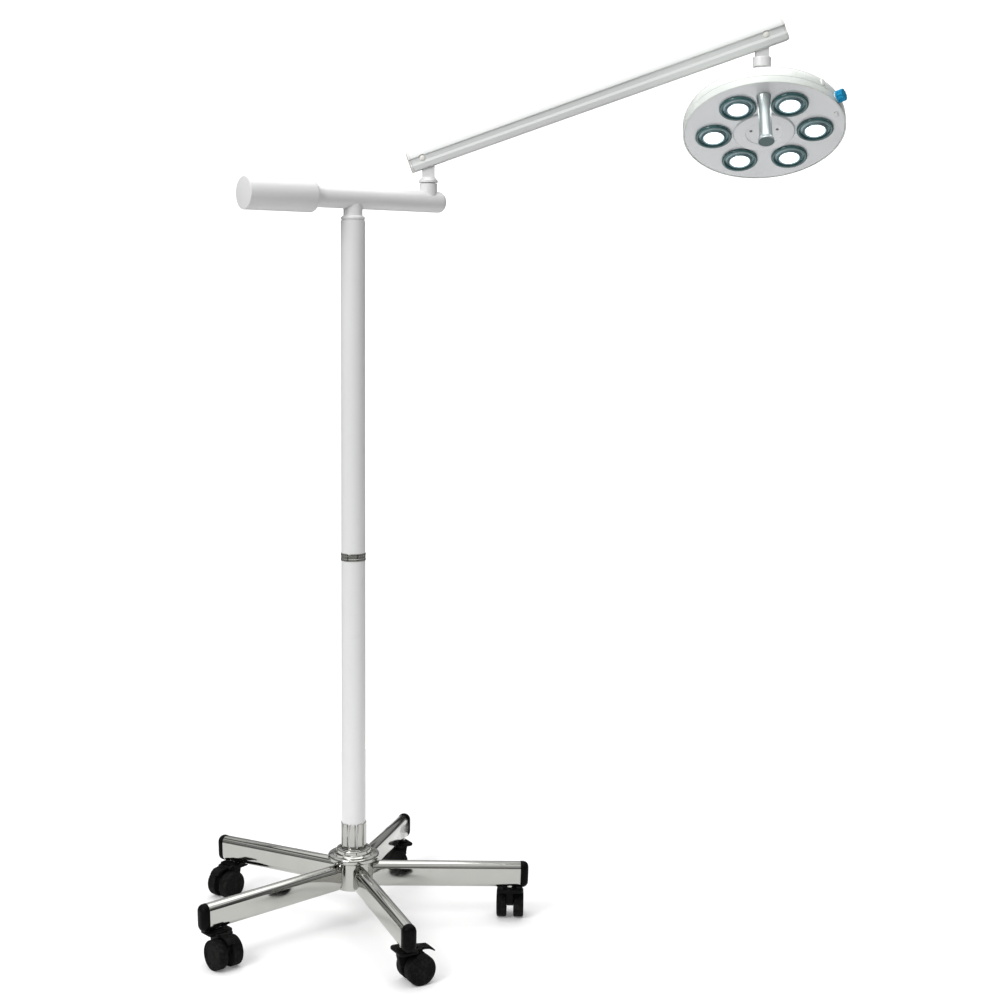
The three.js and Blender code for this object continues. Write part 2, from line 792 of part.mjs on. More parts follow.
/** How much wider and deeper the arm is at a distance from its post pin. */
function armGrowth(x) {
  const share = (x + ARM.tail) / (ARM.span + ARM.tail + ARM.nose);
  return 1 + (ARM.depthLamp / ARM.depthPost - 1) * share;
}

/** A stretch of the arm's section, growing towards the lamp. */
function armStretch(from, to, inset, hole) {
  const made = barYZ(armSection(inset), from, to, hole);
  const position = made.getAttribute("position");
  for (let i = 0; i < position.count; i++) {
    const growth = armGrowth(position.getX(i));
    position.setY(i, position.getY(i) * growth);
    position.setZ(i, position.getZ(i) * growth);
  }
  return made;
}

/** Where a tongue's edge crosses the arm's underside at an incline, along the arm from its pin. */
function crossing(edge, depth, incline) {
  const angle = incline * DEG;
  return edge / Math.cos(angle) - depth * Math.tan(angle);
}

/** Slot in the underside that clears a tongue over the whole travel. */
function tongueSlot(pin, edges, thickness) {
  const depth = (ARM.depthPost / 2) * armGrowth(pin);
  const ends = edges.flatMap((edge) =>
    [ARM.travelUp, ARM.travelDown].flatMap((incline) => [
      crossing(edge, depth, incline),
      crossing(edge, depth - ARM.wall - 4, incline),
    ]),
  );
  const low = pin + Math.min(...ends) - ARM.slotEnd;
  const high = pin + Math.max(...ends) + ARM.slotEnd;
  const side = thickness / 2 + ARM.slotSide;
  return box([low, -side, -depth - 5], [high, side, -depth + ARM.wall + 5]);
}

/** Holes through both side walls, with flat seats for the pin's heads. */
function pinHoles(pin) {
  const growth = armGrowth(pin);
  const wall = (ARM.width / 2 - ARM.waist) * growth;
  const seat = wall - 0.5;
  const shaft = alongY(rod(PIN.radius + GAP, -wall - 9, wall + 9, ROUND));
  const recess = [-1, 1].map((side) => {
    const from = side * seat;
    const to = side * (seat + 12);
    return alongY(rod(PIN.headRadius + GAP, Math.min(from, to), Math.max(from, to), ROUND));
  });
  return [shaft, ...recess].map((tool) => tool.translate(pin, 0, 0));
}

/** The arm's shell, open at both ends. */
function armTubeGeometry() {
  const from = -ARM.tail + ARM_CAP.thickness + GAP;
  const to = ARM.span + ARM.nose - ARM_CAP.thickness - GAP;
  const shell = armStretch(from, to, 0, armSection(ARM.wall).reverse());
  const postHalf = POST.tongueWidth / 2;
  const postEdges = [POST.pinBack - postHalf, POST.pinBack + postHalf];
  const stemHalf = STEM.tongueWidth / 2;
  const stemEdges = [-STEM.back - stemHalf, -STEM.back + stemHalf];
  return cut(
    shell,
    tongueSlot(0, postEdges, POST.tongueThickness),
    tongueSlot(ARM.span, stemEdges, STEM.tongueThickness),
    ...pinHoles(0),
    ...pinHoles(ARM.span),
  );
}

/** End cap with a rounded edge and a spigot, pointing along +X or -X. */
function armCapGeometry(atLamp) {
  const { thickness, spigot, round } = ARM_CAP;
  const end = atLamp ? ARM.span + ARM.nose : -ARM.tail;
  const out = atLamp ? 1 : -1;
  const stretch = (a, b, inset) => {
    const [from, to] = [end - out * a, end - out * b].sort((p, q) => p - q);
    return armStretch(from, to, inset);
  };
  const slot = [end - out * (thickness - 1), end - out * (thickness + spigot + 1)].sort((p, q) => p - q);
  const low = -ARM.depthLamp;
  const side = STEM.tongueThickness / 2 + ARM.slotSide;
  const body = join(
    stretch(thickness, round, 0),
    stretch(round + 0.5, 0, round * 0.8),
    stretch(thickness + spigot, thickness - 0.5, ARM.wall + FIT),
  );
  return cut(body, box([slot[0], -side, low], [slot[1], side, 0]));
}

/** A pivot pin with a flat head at each side of the arm. */
function pinGeometry(pin) {
  const seat = (ARM.width / 2 - ARM.waist) * armGrowth(pin) - 0.5 + GAP;
  const { radius, headRadius, headHeight } = PIN;
  const half = [
    [radius, seat],
    [headRadius, seat],
    [headRadius, seat + headHeight - 0.8],
    [headRadius - 0.8, seat + headHeight],
    [0, seat + headHeight],
  ];
  const mirrored = half.slice().reverse();
  return alongY(turned([...mirrored.map(([r, h]) => [r, -h]), ...half]));
}

/** Balance spring with its pull rod and the plates that anchor it across the arm. */
function springGeometry() {
  const { radius, wire, turns, length, rod: pull, anchor, fromPost, lead } = SPRING;
  const pitch = length / turns;
  const profile = [[0, 0]];
  for (let i = 0; i < turns; i++) {
    profile.push([radius - 2 * wire, i * pitch]);
    profile.push([radius, (i + 0.5) * pitch]);
  }
  profile.push([radius - 2 * wire, length], [0, length]);
  const coil = alongX(turned(profile, SMALL)).translate(fromPost, 0, 0);
  const [near, far] = [fromPost - lead, fromPost + length + lead];
  const plates = [near, far].map((x) => {
    const half = (ARM.width / 2 - ARM.waist - ARM.wall) * armGrowth(x) - GAP;
    return box([x, -half, -half], [x + anchor, half, half]);
  });
  const bar = alongX(rod(pull, near + 1, far + 1, SMALL));
  return join(coil, bar, ...plates);
}

/** The arm and what is fixed in it. Its frame's origin is the post pin and +X runs along it. */
function addArm(post) {
  const tilt = placed(post, "arm_tilt", -POST.pinBack, 0, postPin);
  tilt.rotation.y = -ARM.incline * DEG;
  add(tilt, "arm_tube", armTubeGeometry(), MATERIALS.whitePaint);
  add(tilt, "arm_cap_post", armCapGeometry(false), MATERIALS.whitePaint);
  add(tilt, "arm_cap_lamp", armCapGeometry(true), MATERIALS.whitePaint);
  add(tilt, "balance_spring", springGeometry(), MATERIALS.springSteel);
  add(tilt, "pivot_pin_post", pinGeometry(0), MATERIALS.satinSteel);
  const lampPin = add(tilt, "pivot_pin_lamp", pinGeometry(ARM.span), MATERIALS.satinSteel);
  lampPin.position.x = ARM.span;
  return tilt;
}

// ---------------------------------------------------------------- lamp stem and yoke

/** Tongue, collar and shaft below the lamp pin, which is the origin. */
function stemGeometry() {
  const axis = -STEM.back;
  const half = STEM.tongueWidth / 2;
  const shaftFoot = -stemEnd - SIDE - YOKE.crownHeight + 3;
  const { collarRadius, collarEdge, shaftRadius } = STEM;
  const collar = turned([
    [0, shaftFoot],
    [shaftRadius, shaftFoot],
    [shaftRadius, -stemEnd],
    [collarRadius, -stemEnd],
    [collarRadius, -STEM.drop - collarEdge],
    [collarRadius - collarEdge, -STEM.drop],
    [0, -STEM.drop],
  ]).translate(axis, 0, 0);
  const tongue = [
    [axis - half, -STEM.drop - 1],
    [axis + half, -STEM.drop - 1],
    [axis + half, -STEM.sideFront],
    ...arc(0, 0, STEM.eye, -10, 190, 7),
    [axis - half, -STEM.sideBack],
  ];
  const hole = alongY(rod(boreFor(PIN.radius, ROUND), -STEM.tongueThickness, STEM.tongueThickness));
  return cut(join(collar, plateXZ(tongue, STEM.tongueThickness)), hole);
}

/** Crown and two cheeks that hold the lamp's tilt pin. The tilt pin is the origin. */
function yokeGeometry() {
  const crownTop = YOKE.drop - SIDE;
  const crownFoot = crownTop - YOKE.crownHeight;
  const inner = HEAD.knuckleWidth / 2 + SIDE;
  const outer = inner + YOKE.cheek;
  const crown = turned([
    [0, crownFoot],
    [YOKE.crownRadius, crownFoot],
    [YOKE.crownRadius, crownTop - 2],
    [YOKE.crownRadius - 2, crownTop],
    [0, crownTop],
  ]);
  const strap = [
    [-YOKE.eye, 0],
    ...arc(0, 0, YOKE.eye, 180, 360, 6).slice(1, -1),
    [YOKE.eye, 0],
    [YOKE.eye - 2, crownFoot + 1],
    [-YOKE.eye + 2, crownFoot + 1],
  ];
  const cheeks = [[-outer, -inner], [inner, outer]].map(([a, b]) => barYZ(strap, a, b));
  const pin = alongX(rod(PIN.radius, -outer + 1, outer - 1, ROUND));
  const bore = rod(boreFor(STEM.shaftRadius, ROUND), crownTop - YOKE.crownHeight + 2, crownTop + 1);
  return cut(join(crown, ...cheeks, pin), bore);
}

/** The stem in the arm's far end and the yoke that turns on it. */
function addStem(tilt) {
  const level = placed(tilt, "stem_level", ARM.span, 0, 0);
  level.rotation.y = ARM.incline * DEG;
  add(level, "lamp_stem", stemGeometry(), MATERIALS.whitePaint);
  const pinHeight = -stemEnd - YOKE.drop;
  const yoke = placed(level, "lamp_swivel", -STEM.back, 0, pinHeight, YOKE.turn);
  add(yoke, "head_yoke", yokeGeometry(), MATERIALS.whitePaint);
  return yoke;
}

// ---------------------------------------------------------------- lamp head
// In the head's frame the face is at 0 and +Z points out of it, towards the patient.

/** Radius of the dome's outside, taken in by a wall, at a depth behind the face. */
function domeRadius(depth, wall) {
  const straight = HEAD.rimBand;
  if (depth <= straight) return HEAD.radius - wall;
  const share = (depth - straight) / (HEAD.depth - wall - straight);
  const left = 1 - Math.min(1, share) ** HEAD.crown;
  return (HEAD.radius - wall) * left ** (1 / HEAD.crown);
}

/** The dome's curve from the rim band to its top. */
function domeCurve(wall, steps) {
  const points = [];
  for (let i = 0; i <= steps; i++) {
    const angle = (i / steps) * 90 * DEG;
    const share = Math.sin(angle) ** (2 / HEAD.crown);
    const depth = HEAD.rimBand + share * (HEAD.depth - wall - HEAD.rimBand);
    points.push([i === steps ? 0 : domeRadius(depth, wall), -depth]);
  }
  return points;
}

/** Dome with a ledge for the face plate, a knuckle for the tilt pin and a seat for the knob. */
function domeGeometry() {
  const { radius, wall, lip, ledge, knuckle, knuckleWidth, knuckleRadius, depth } = HEAD;
  const inside = radius - wall;
  const under = -FACE.thickness - GAP;
  const shell = turned(
    [
      ...domeCurve(0, 7).reverse(),
      [radius, lip - 1],
      [radius - 1, lip],
      [inside, lip],
      [inside, under],
      [inside - ledge, under],
      [inside, under - ledge],
      ...domeCurve(wall, 5),
    ],
    FINE,
  );
  const pin = -depth - knuckle;
  const lug = [
    [-knuckleRadius - 3, -depth + wall / 2 + 1],
    [-knuckleRadius, pin],
    ...arc(0, pin, knuckleRadius, 180, 360, 6).slice(1, -1),
    [knuckleRadius, pin],
    [knuckleRadius + 3, -depth + wall / 2 + 1],
  ];
  const half = knuckleWidth / 2;
  const seat = rod(KNOB.seatRadius, radius - wall / 2, radius + KNOB.seat, ROUND);
  const spindle = rod(boreFor(KNOB.spindle, SMALL), radius - 3 * wall, radius + KNOB.seat + 1, SMALL);
  const bore = alongX(rod(boreFor(PIN.radius, ROUND), -knuckleWidth, knuckleWidth)).translate(0, 0, pin);
  return cut(join(shell, barYZ(lug, -half, half), atKnob(seat)), bore, atKnob(spindle));
}

/** A piece made along Z, laid along the knob's axis. */
function atKnob(geometry) {
  return alongX(geometry).rotateZ(KNOB.angle * DEG).translate(0, 0, -KNOB.depth);
}

/** Centres of the lamp modules on the face. */
function moduleCentres() {
  const centres = [];
  for (let i = 0; i < MODULE.count; i++) {
    const angle = (FACE.turn + (i * 360) / MODULE.count) * DEG;
    centres.push([MODULE.circle * Math.cos(angle), MODULE.circle * Math.sin(angle)]);
  }
  return centres;
}

/** A piece standing on the face, moved out to the handle's place between two modules. */
function atHandle(geometry) {
  return geometry.translate(0, HANDLE.out, 0).rotateZ(FACE.turn * DEG);
}

/** Face plate with a hole for each module and one for the handle's stud. */
function facePlateGeometry() {
  const plate = rod(HEAD.radius - HEAD.wall - GAP, -FACE.thickness, 0, FINE);
  const holes = moduleCentres().map(([x, y]) =>
    rod(MODULE.neck + FIT, -FACE.thickness - 1, 1, ROUND).translate(x, y, 0),
  );
  const stud = atHandle(rod(HANDLE.stud + FIT, -FACE.thickness - 1, 1, SMALL));
  return cut(plate, ...holes, stud);
}

/** Stepped trim ring round one lens, standing on the face. */
function bezelGeometry() {
  const { radius, neck, proud, lens, depth } = MODULE;
  const bore = lens + 0.8;
  return turned([
    [bore, -depth],
    [neck, -depth],
    [neck, GAP],
    [radius, GAP],
    [radius, 0.35 * proud],
    [radius - 4, 0.62 * proud],
    [radius - 9, 0.6 * proud],
    [bore + 2, proud],
    [bore, 0.9 * proud],
  ]);
}

/** Board behind the face with a lens column up through each module. */
function ledEngineGeometry() {
  const { depth, thickness, margin } = LED_BOARD;
  const radius = domeRadius(depth + thickness, HEAD.wall) - margin;
  const board = rod(radius, -depth - thickness, -depth, FINE);
  const lens = MODULE.lens;
  const top = MODULE.proud;
  const lenses = moduleCentres().map(([x, y]) => {
    const profile = [[0, -depth - 1], [lens, -depth - 1], [lens, top - 1], [0, top + 1]];
    return turned(profile, ROUND).translate(x, y, 0);
  });
  return join(board, ...lenses);
}

/** Shallow dish in the middle of the face. */
function discGeometry() {
  const { radius, inner, height, step } = DISC;
  return turned(
    [
      [0, GAP],
      [radius, GAP],
      [radius, GAP + 0.4 * height],
      [radius - 3, GAP + height],
      [inner + 1, GAP + height],
      [inner, GAP + height - step],
      [0, GAP + height - step],
    ],
    FINE,
  );
}

/** Straight grip with a flared end, screwed through the face plate. */
function handleGeometry() {
  const { radius, length, flareRadius, flareLength, stud, studLength } = HANDLE;
  const top = GAP + length;
  const grip = turned([
    [0, -studLength],
    [stud, -studLength],
    [stud, GAP],
    [radius + 1.5, GAP],
    [radius + 1.5, 3],
    [radius, 5],
    [radius, top - flareLength],
    [flareRadius, top - 0.4 * flareLength],
    [flareRadius, top - 1],
    [flareRadius - 1, top],
    [0, top],
  ]);
  return atHandle(grip);
}

/** Faceted knob with its spindle, along Z from the middle of the head. */
function knobGeometry() {
  const from = HEAD.radius + KNOB.seat + 2 * GAP;
  const to = from + KNOB.length;
  const { radius, spindle, sides } = KNOB;
  const grip = turned([[0, from], [radius, from], [radius, to - 3], [radius - 2.5, to], [0, to]], sides);
  return join(grip, rod(spindle, from - KNOB.seat - 3, from + 1, SMALL));
}

/** The lamp head, hung in its yoke by the tilt pin. */
function addHead(yoke) {
  const tilt = placed(yoke, "head_tilt", 0, 0, 0);
  tilt.rotation.x = (180 - HEAD.tilt) * DEG;
  const face = placed(tilt, "face", 0, 0, faceDrop);
  add(face, "dome_housing", domeGeometry(), MATERIALS.housing);
  add(face, "face_plate", facePlateGeometry(), MATERIALS.face);
  add(face, "center_disc", discGeometry(), MATERIALS.face);
  add(face, "led_engine", ledEngineGeometry(), MATERIALS.lens);
  add(face, "handle", handleGeometry(), MATERIALS.satinSteel);
  const bezel = bezelGeometry();
  moduleCentres().forEach(([x, y], i) => {
    add(face, `led_bezel_${i + 1}`, bezel, MATERIALS.bezel).position.set(x, y, 0);
  });
  const turn = placed(face, "knob_turn", 0, 0, -KNOB.depth, KNOB.angle);
  const knob = add(turn, "knob", alongX(knobGeometry()), MATERIALS.blueKnob);
  knob.position.set(0, 0, 0);
}

// ---------------------------------------------------------------- assembly

/** The whole lamp, with its origin on the floor under the middle of its box. */
function examinationLamp() {
  const lamp = new THREE.Group();
  const base = placed(lamp, "base", 0, 0, 0);
  addCasters(base);
  addBase(base);
  addColumn(base);
  const top = addCrossbar(base);
  const arm = addArm(addPost(top));
  addHead(addStem(arm));
  lamp.updateMatrixWorld(true);
  const bounds = new THREE.Box3().setFromObject(lamp, true);
  const middle = bounds.getCenter(new THREE.Vector3());
  base.position.set(-middle.x, -middle.y, -bounds.min.z);
  return lamp;
}

const lamp = examinationLamp();

export default lamp;
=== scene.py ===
"""Looks of a mobile examination lamp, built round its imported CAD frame.

Every piece is modelled in millimetres in the own frame of its sub-assembly, and a Place then
carries the mesh into the lamp's frame in metres, so finished objects sit at the origin.
"""

import json
import logging
import math
from dataclasses import dataclass, field
from enum import Enum

import bmesh
import bpy
from mathutils import Matrix, Vector

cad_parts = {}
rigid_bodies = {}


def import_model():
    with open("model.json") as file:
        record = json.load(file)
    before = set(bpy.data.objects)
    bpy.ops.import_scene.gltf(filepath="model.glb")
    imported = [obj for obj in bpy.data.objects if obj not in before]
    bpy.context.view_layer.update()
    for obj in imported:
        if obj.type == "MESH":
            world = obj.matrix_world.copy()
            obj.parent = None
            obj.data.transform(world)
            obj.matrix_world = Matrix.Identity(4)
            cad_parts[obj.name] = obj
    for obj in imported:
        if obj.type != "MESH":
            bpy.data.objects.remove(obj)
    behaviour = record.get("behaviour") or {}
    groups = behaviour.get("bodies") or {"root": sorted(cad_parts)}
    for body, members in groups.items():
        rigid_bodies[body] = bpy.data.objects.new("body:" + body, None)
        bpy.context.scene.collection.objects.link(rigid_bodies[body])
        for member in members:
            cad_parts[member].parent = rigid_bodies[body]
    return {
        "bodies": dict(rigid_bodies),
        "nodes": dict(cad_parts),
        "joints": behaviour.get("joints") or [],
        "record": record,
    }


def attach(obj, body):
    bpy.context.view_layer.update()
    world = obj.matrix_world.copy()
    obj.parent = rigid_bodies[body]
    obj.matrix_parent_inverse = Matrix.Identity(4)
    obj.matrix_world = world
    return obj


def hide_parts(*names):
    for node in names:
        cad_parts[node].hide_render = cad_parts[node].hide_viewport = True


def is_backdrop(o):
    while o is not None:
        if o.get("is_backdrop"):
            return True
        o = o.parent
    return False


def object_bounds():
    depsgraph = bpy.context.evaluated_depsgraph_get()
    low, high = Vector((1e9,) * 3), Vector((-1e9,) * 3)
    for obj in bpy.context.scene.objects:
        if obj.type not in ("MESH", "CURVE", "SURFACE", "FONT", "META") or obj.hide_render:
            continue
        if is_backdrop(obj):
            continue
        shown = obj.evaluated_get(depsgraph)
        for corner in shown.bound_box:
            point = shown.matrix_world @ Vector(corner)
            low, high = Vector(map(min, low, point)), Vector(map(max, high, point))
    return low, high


logging.basicConfig(level=logging.INFO, format="%(name)s: %(message)s")
LOG = logging.getLogger("lamp")

Point = tuple[float, float]


class Axis(Enum):
    """A direction of a sub-assembly's own frame."""

    X = "X"
    Y = "Y"
    Z = "Z"


class Cut(Enum):
    """How one form changes another."""

    JOIN = "UNION"
    REMOVE = "DIFFERENCE"


# ------------------------------------------------------------------ frame of the CAD model


class Frame:
    """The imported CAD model: its nodes, and the joints that give each sub-assembly its place."""

    def __init__(self) -> None:
        """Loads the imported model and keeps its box."""
        self.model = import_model()
        self.cad_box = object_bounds()
        self.joints = {joint["name"]: joint for joint in self.model["joints"]}

    def pivot(self, joint: str) -> Vector:
        """Returns a joint's position, in metres."""
        return Vector(self.joints[joint]["pos_m"])

    def axis(self, joint: str) -> Vector:
        """Returns a joint's axis."""
        return Vector(self.joints[joint]["axis"]).normalized()


@dataclass(frozen=True)
class Place:
    """Where a sub-assembly's own frame stands: millimetres in, metres out."""

    matrix: Matrix

    @classmethod
    def at(cls, origin: Vector, x: Vector, z: Vector) -> "Place":
        """Makes a place from an origin in metres and two directions.

        Args:
            origin: the own frame's origin, in metres.
            x: the way its X axis points, which is squared up to z.
            z: the way its Z axis points.

        Returns:
            The place.
        """
        up = z.normalized()
        across = up.cross(x).normalized()
        along = across.cross(up)
        turn = Matrix((along, across, up)).transposed().to_4x4()
        return cls(Matrix.Translation(origin) @ turn @ Matrix.Scale(0.001, 4))

    def moved(self, x: float = 0, y: float = 0, z: float = 0) -> "Place":
        """Returns this place moved by millimetres along its own axes."""
        return Place(self.matrix @ Matrix.Translation((x, y, z)))

    def turned(self, degrees: float, axis: Axis = Axis.Z) -> "Place":
        """Returns this place turned about one of its own axes."""
        return Place(self.matrix @ Matrix.Rotation(math.radians(degrees), 4, axis.value))


# ------------------------------------------------------------------ shapes


def arc(x: float, y: float, radius: float, start: float, end: float, steps: int) -> list[Point]:
    """Lays points on an arc.

    Args:
        x: the centre's first coordinate.
        y: the centre's second coordinate.
        radius: the arc's radius.
        start: the first angle, in degrees.
        end: the last angle, in degrees.
        steps: how many equal steps to take.

    Returns:
        The points, both ends included.
    """
    angles = [math.radians(start + (end - start) * i / steps) for i in range(steps + 1)]
    return [(x + radius * math.cos(a), y + radius * math.sin(a)) for a in angles]


def rounded_box(length: float, width: float, radius: float, steps: int = 6) -> list[Point]:
    """Returns a rectangle's outline with round corners, centred on the origin.

    Args:
        length: its size in X.
        width: its size in Y.
        radius: the corners' radius.
        steps: how many steps each corner takes.

    Returns:
        The points.
    """
    x, y = length / 2 - radius, width / 2 - radius
    corners = ((x, y, 0), (-x, y, 90), (-x, -y, 180), (x, -y, 270))
    return [p for cx, cy, a in corners for p in arc(cx, cy, radius, a, a + 90, steps)]


def flat_oval(width: float, height: float, steps: int = 16) -> list[Point]:
    """Returns the outline of a flat oval that stands on end, centred on the origin.

    Args:
        width: its width.
        height: its height.
        steps: how many steps each round end takes.

    Returns:
        The points.
    """
    radius = width / 2
    centre = height / 2 - radius
    top = arc(0, centre, radius, 0, 180, steps)
    return top + arc(0, -centre, radius, 180, 360, steps)


class Form:
    """A closed mesh in the making, in millimetres."""

    def __init__(self) -> None:
        """Starts an empty form."""
        self.mesh = bmesh.new()

    @classmethod
    def turned(cls, profile: list[Point], steps: int = 64) -> "Form":
        """Spins a profile of (radius, height) about Z.

        Args:
            profile: the points in order. One that misses the axis closes on itself.
            steps: how many steps make the full turn.

        Returns:
            The closed form.
        """
        form = cls()
        points = [form.mesh.verts.new((r, 0, z)) for r, z in profile]
        edges = [form.mesh.edges.new(pair) for pair in zip(points, points[1:])]
        if profile[0][0] > 1e-6 or profile[-1][0] > 1e-6:
            edges.append(form.mesh.edges.new((points[-1], points[0])))
        bmesh.ops.spin(
            form.mesh,
            geom=points + edges,
            cent=(0, 0, 0),
            axis=(0, 0, 1),
            angle=math.tau,
            steps=steps,
            use_merge=True,
        )
        return form.tidied()

    @classmethod
    def plate(cls, outline: list[Point], depth: float) -> "Form":
        """Raises an outline in X and Y along Z from zero.

        Args:
            outline: the outline's points, in order.
            depth: how far it is raised.

        Returns:
            The form.
        """
        form = cls()
        face = form.mesh.faces.new([form.mesh.verts.new((x, y, 0)) for x, y in outline])
        raised = bmesh.ops.extrude_face_region(form.mesh, geom=[face])["geom"]
        points = [item for item in raised if isinstance(item, bmesh.types.BMVert)]
        bmesh.ops.translate(form.mesh, verts=points, vec=(0, 0, depth))
        return form.tidied()

    @classmethod
    def block(cls, low: tuple[float, float, float], high: tuple[float, float, float]) -> "Form":
        """Makes a block between two corners.

        Args:
            low: its lowest corner.
            high: its highest corner.

        Returns:
            The form.
        """
        form = cls()
        size = [b - a for a, b in zip(low, high)]
        middle = [(a + b) / 2 for a, b in zip(low, high)]
        bmesh.ops.create_cube(form.mesh, size=1)
        bmesh.ops.scale(form.mesh, verts=form.mesh.verts[:], vec=size)
        return form.moved(*middle)

    def tidied(self) -> "Form":
        """Closes seams and poles and turns every face outwards.

        Returns:
            The same form.
        """
        bmesh.ops.remove_doubles(self.mesh, verts=self.mesh.verts[:], dist=1e-4)
        bmesh.ops.recalc_face_normals(self.mesh, faces=self.mesh.faces[:])
        return self

    def moved(self, x: float = 0, y: float = 0, z: float = 0) -> "Form":
        """Moves the form."""
        bmesh.ops.translate(self.mesh, verts=self.mesh.verts[:], vec=(x, y, z))
        return self

    def rolled(self, degrees: float, axis: Axis) -> "Form":
        """Turns the form about an axis through the origin.

        Args:
            degrees: the angle.
            axis: the axis.

        Returns:
            The same form.
        """
        turn = Matrix.Rotation(math.radians(degrees), 3, axis.value)
        bmesh.ops.rotate(self.mesh, verts=self.mesh.verts[:], cent=(0, 0, 0), matrix=turn)
        return self

    def along_x(self) -> "Form":
        """Lays the form's Z axis along X."""
        return self.rolled(90, Axis.Y)

    def along_y(self) -> "Form":
        """Lays the form's Z axis along Y."""
        return self.rolled(-90, Axis.X)

    def softened(self, width: float, segments: int = 3, angle: float = 32) -> "Form":
        """Rounds the edges that are sharper than an angle.

        Args:
            width: how far the rounding reaches from the edge.
            segments: how many strips make it.
            angle: the least angle between two faces, in degrees.

        Returns:
            The same form.
        """
        self.mesh.normal_update()
        least = math.radians(angle)
        edges = [e for e in self.mesh.edges if e.is_manifold and e.calc_face_angle() > least]
        return self.rounded(edges, width, segments, True)

    def rounded(
        self, edges: list[bmesh.types.BMEdge], width: float, segments: int, clamp: bool = False
    ) -> "Form":
        """Rounds the given edges.

        Args:
            edges: the edges.
            width: how far the rounding reaches from each.
            segments: how many strips make it.
            clamp: whether the rounding stops where two would meet.

        Returns:
            The same form.
        """
        bmesh.ops.bevel(
            self.mesh,
            geom=edges,
            offset=width,
            segments=segments,
            profile=0.5,
            affect="EDGES",
            clamp_overlap=clamp,
            material=-1,
        )
        return self

    def beside(self, *others: "Form") -> "Form":
        """Takes other forms in as separate shells of this one.

        Args:
            others: the other forms.

        Returns:
            The same form.
        """
        for other in others:
            mesh = bpy.data.meshes.new("shell")
            other.mesh.to_mesh(mesh)
            self.mesh.from_mesh(mesh)
            bpy.data.meshes.remove(mesh)
        return self

    def with_cut(self, how: Cut, *tools: "Form") -> "Form":
        """Joins other forms to this one, or removes them from it.

        Args:
            how: whether the tools are joined or removed.
            tools: the other forms, which are used up.

        Returns:
            The same form, as one closed shell.
        """
        for tool in tools:
            body, other = self.as_object("body"), tool.as_object("tool")
            change = body.modifiers.new("cut", "BOOLEAN")
            change.operation = how.value
            change.solver = "EXACT"
            change.object = other
            graph = bpy.context.evaluated_depsgraph_get()
            made = bpy.data.meshes.new_from_object(body.evaluated_get(graph))
            self.mesh.clear()
            self.mesh.from_mesh(made)
            for item in (body, other):
                bpy.data.meshes.remove(item.data)
            bpy.data.meshes.remove(made)
        bmesh.ops.dissolve_limit(
            self.mesh,
            angle_limit=math.radians(0.2),
            verts=self.mesh.verts[:],
            edges=self.mesh.edges[:],
        )
        return self

    def joined(self, *others: "Form") -> "Form":
        """Returns this form with the others joined to it."""
        return self.with_cut(Cut.JOIN, *others)

    def less(self, *others: "Form") -> "Form":
        """Returns this form with the others removed from it."""
        return self.with_cut(Cut.REMOVE, *others)

    def as_object(self, name: str) -> bpy.types.Object:
        """Returns a new object that shows the form as it is.

        Args:
            name: the object's name.

        Returns:
            The object.
        """
        mesh = bpy.data.meshes.new(name)
        self.mesh.to_mesh(mesh)
        made = bpy.data.objects.new(name, mesh)
        bpy.context.scene.collection.objects.link(made)
        return made


def rod(radius: float, low: float, high: float, steps: int = 40) -> Form:
    """Makes a plain round rod along Z between two heights."""
    return Form.turned([(0, low), (radius, low), (radius, high), (0, high)], steps)


# ------------------------------------------------------------------ shader graph


class Wire:
    """One output of a shader graph, with arithmetic."""

    def __init__(self, graph: "Graph", socket: bpy.types.NodeSocket) -> None:
        """Keeps the graph and the output socket."""
        self.graph = graph
        self.socket = socket

    def _math(self, operation: str, first: "Wire | float", second: "Wire | float") -> "Wire":
        """Returns the result of a Math node."""
        return self.graph.node("ShaderNodeMath", {0: first, 1: second}, operation=operation)

    def __add__(self, other: "Wire | float") -> "Wire":
        """Returns the sum."""
        return self._math("ADD", self, other)

    def __radd__(self, other: float) -> "Wire":
        """Returns the sum."""
        return self._math("ADD", other, self)

    def __sub__(self, other: "Wire | float") -> "Wire":
        """Returns the difference."""
        return self._math("SUBTRACT", self, other)

    def __rsub__(self, other: float) -> "Wire":
        """Returns the difference."""
        return self._math("SUBTRACT", other, self)

    def __mul__(self, other: "Wire | float") -> "Wire":
        """Returns the product."""
        return self._math("MULTIPLY", self, other)

    def __rmul__(self, other: float) -> "Wire":
        """Returns the product."""
        return self._math("MULTIPLY", other, self)

    def least(self, other: "Wire | float") -> "Wire":
        """Returns the smaller of two values."""
        return self._math("MINIMUM", self, other)


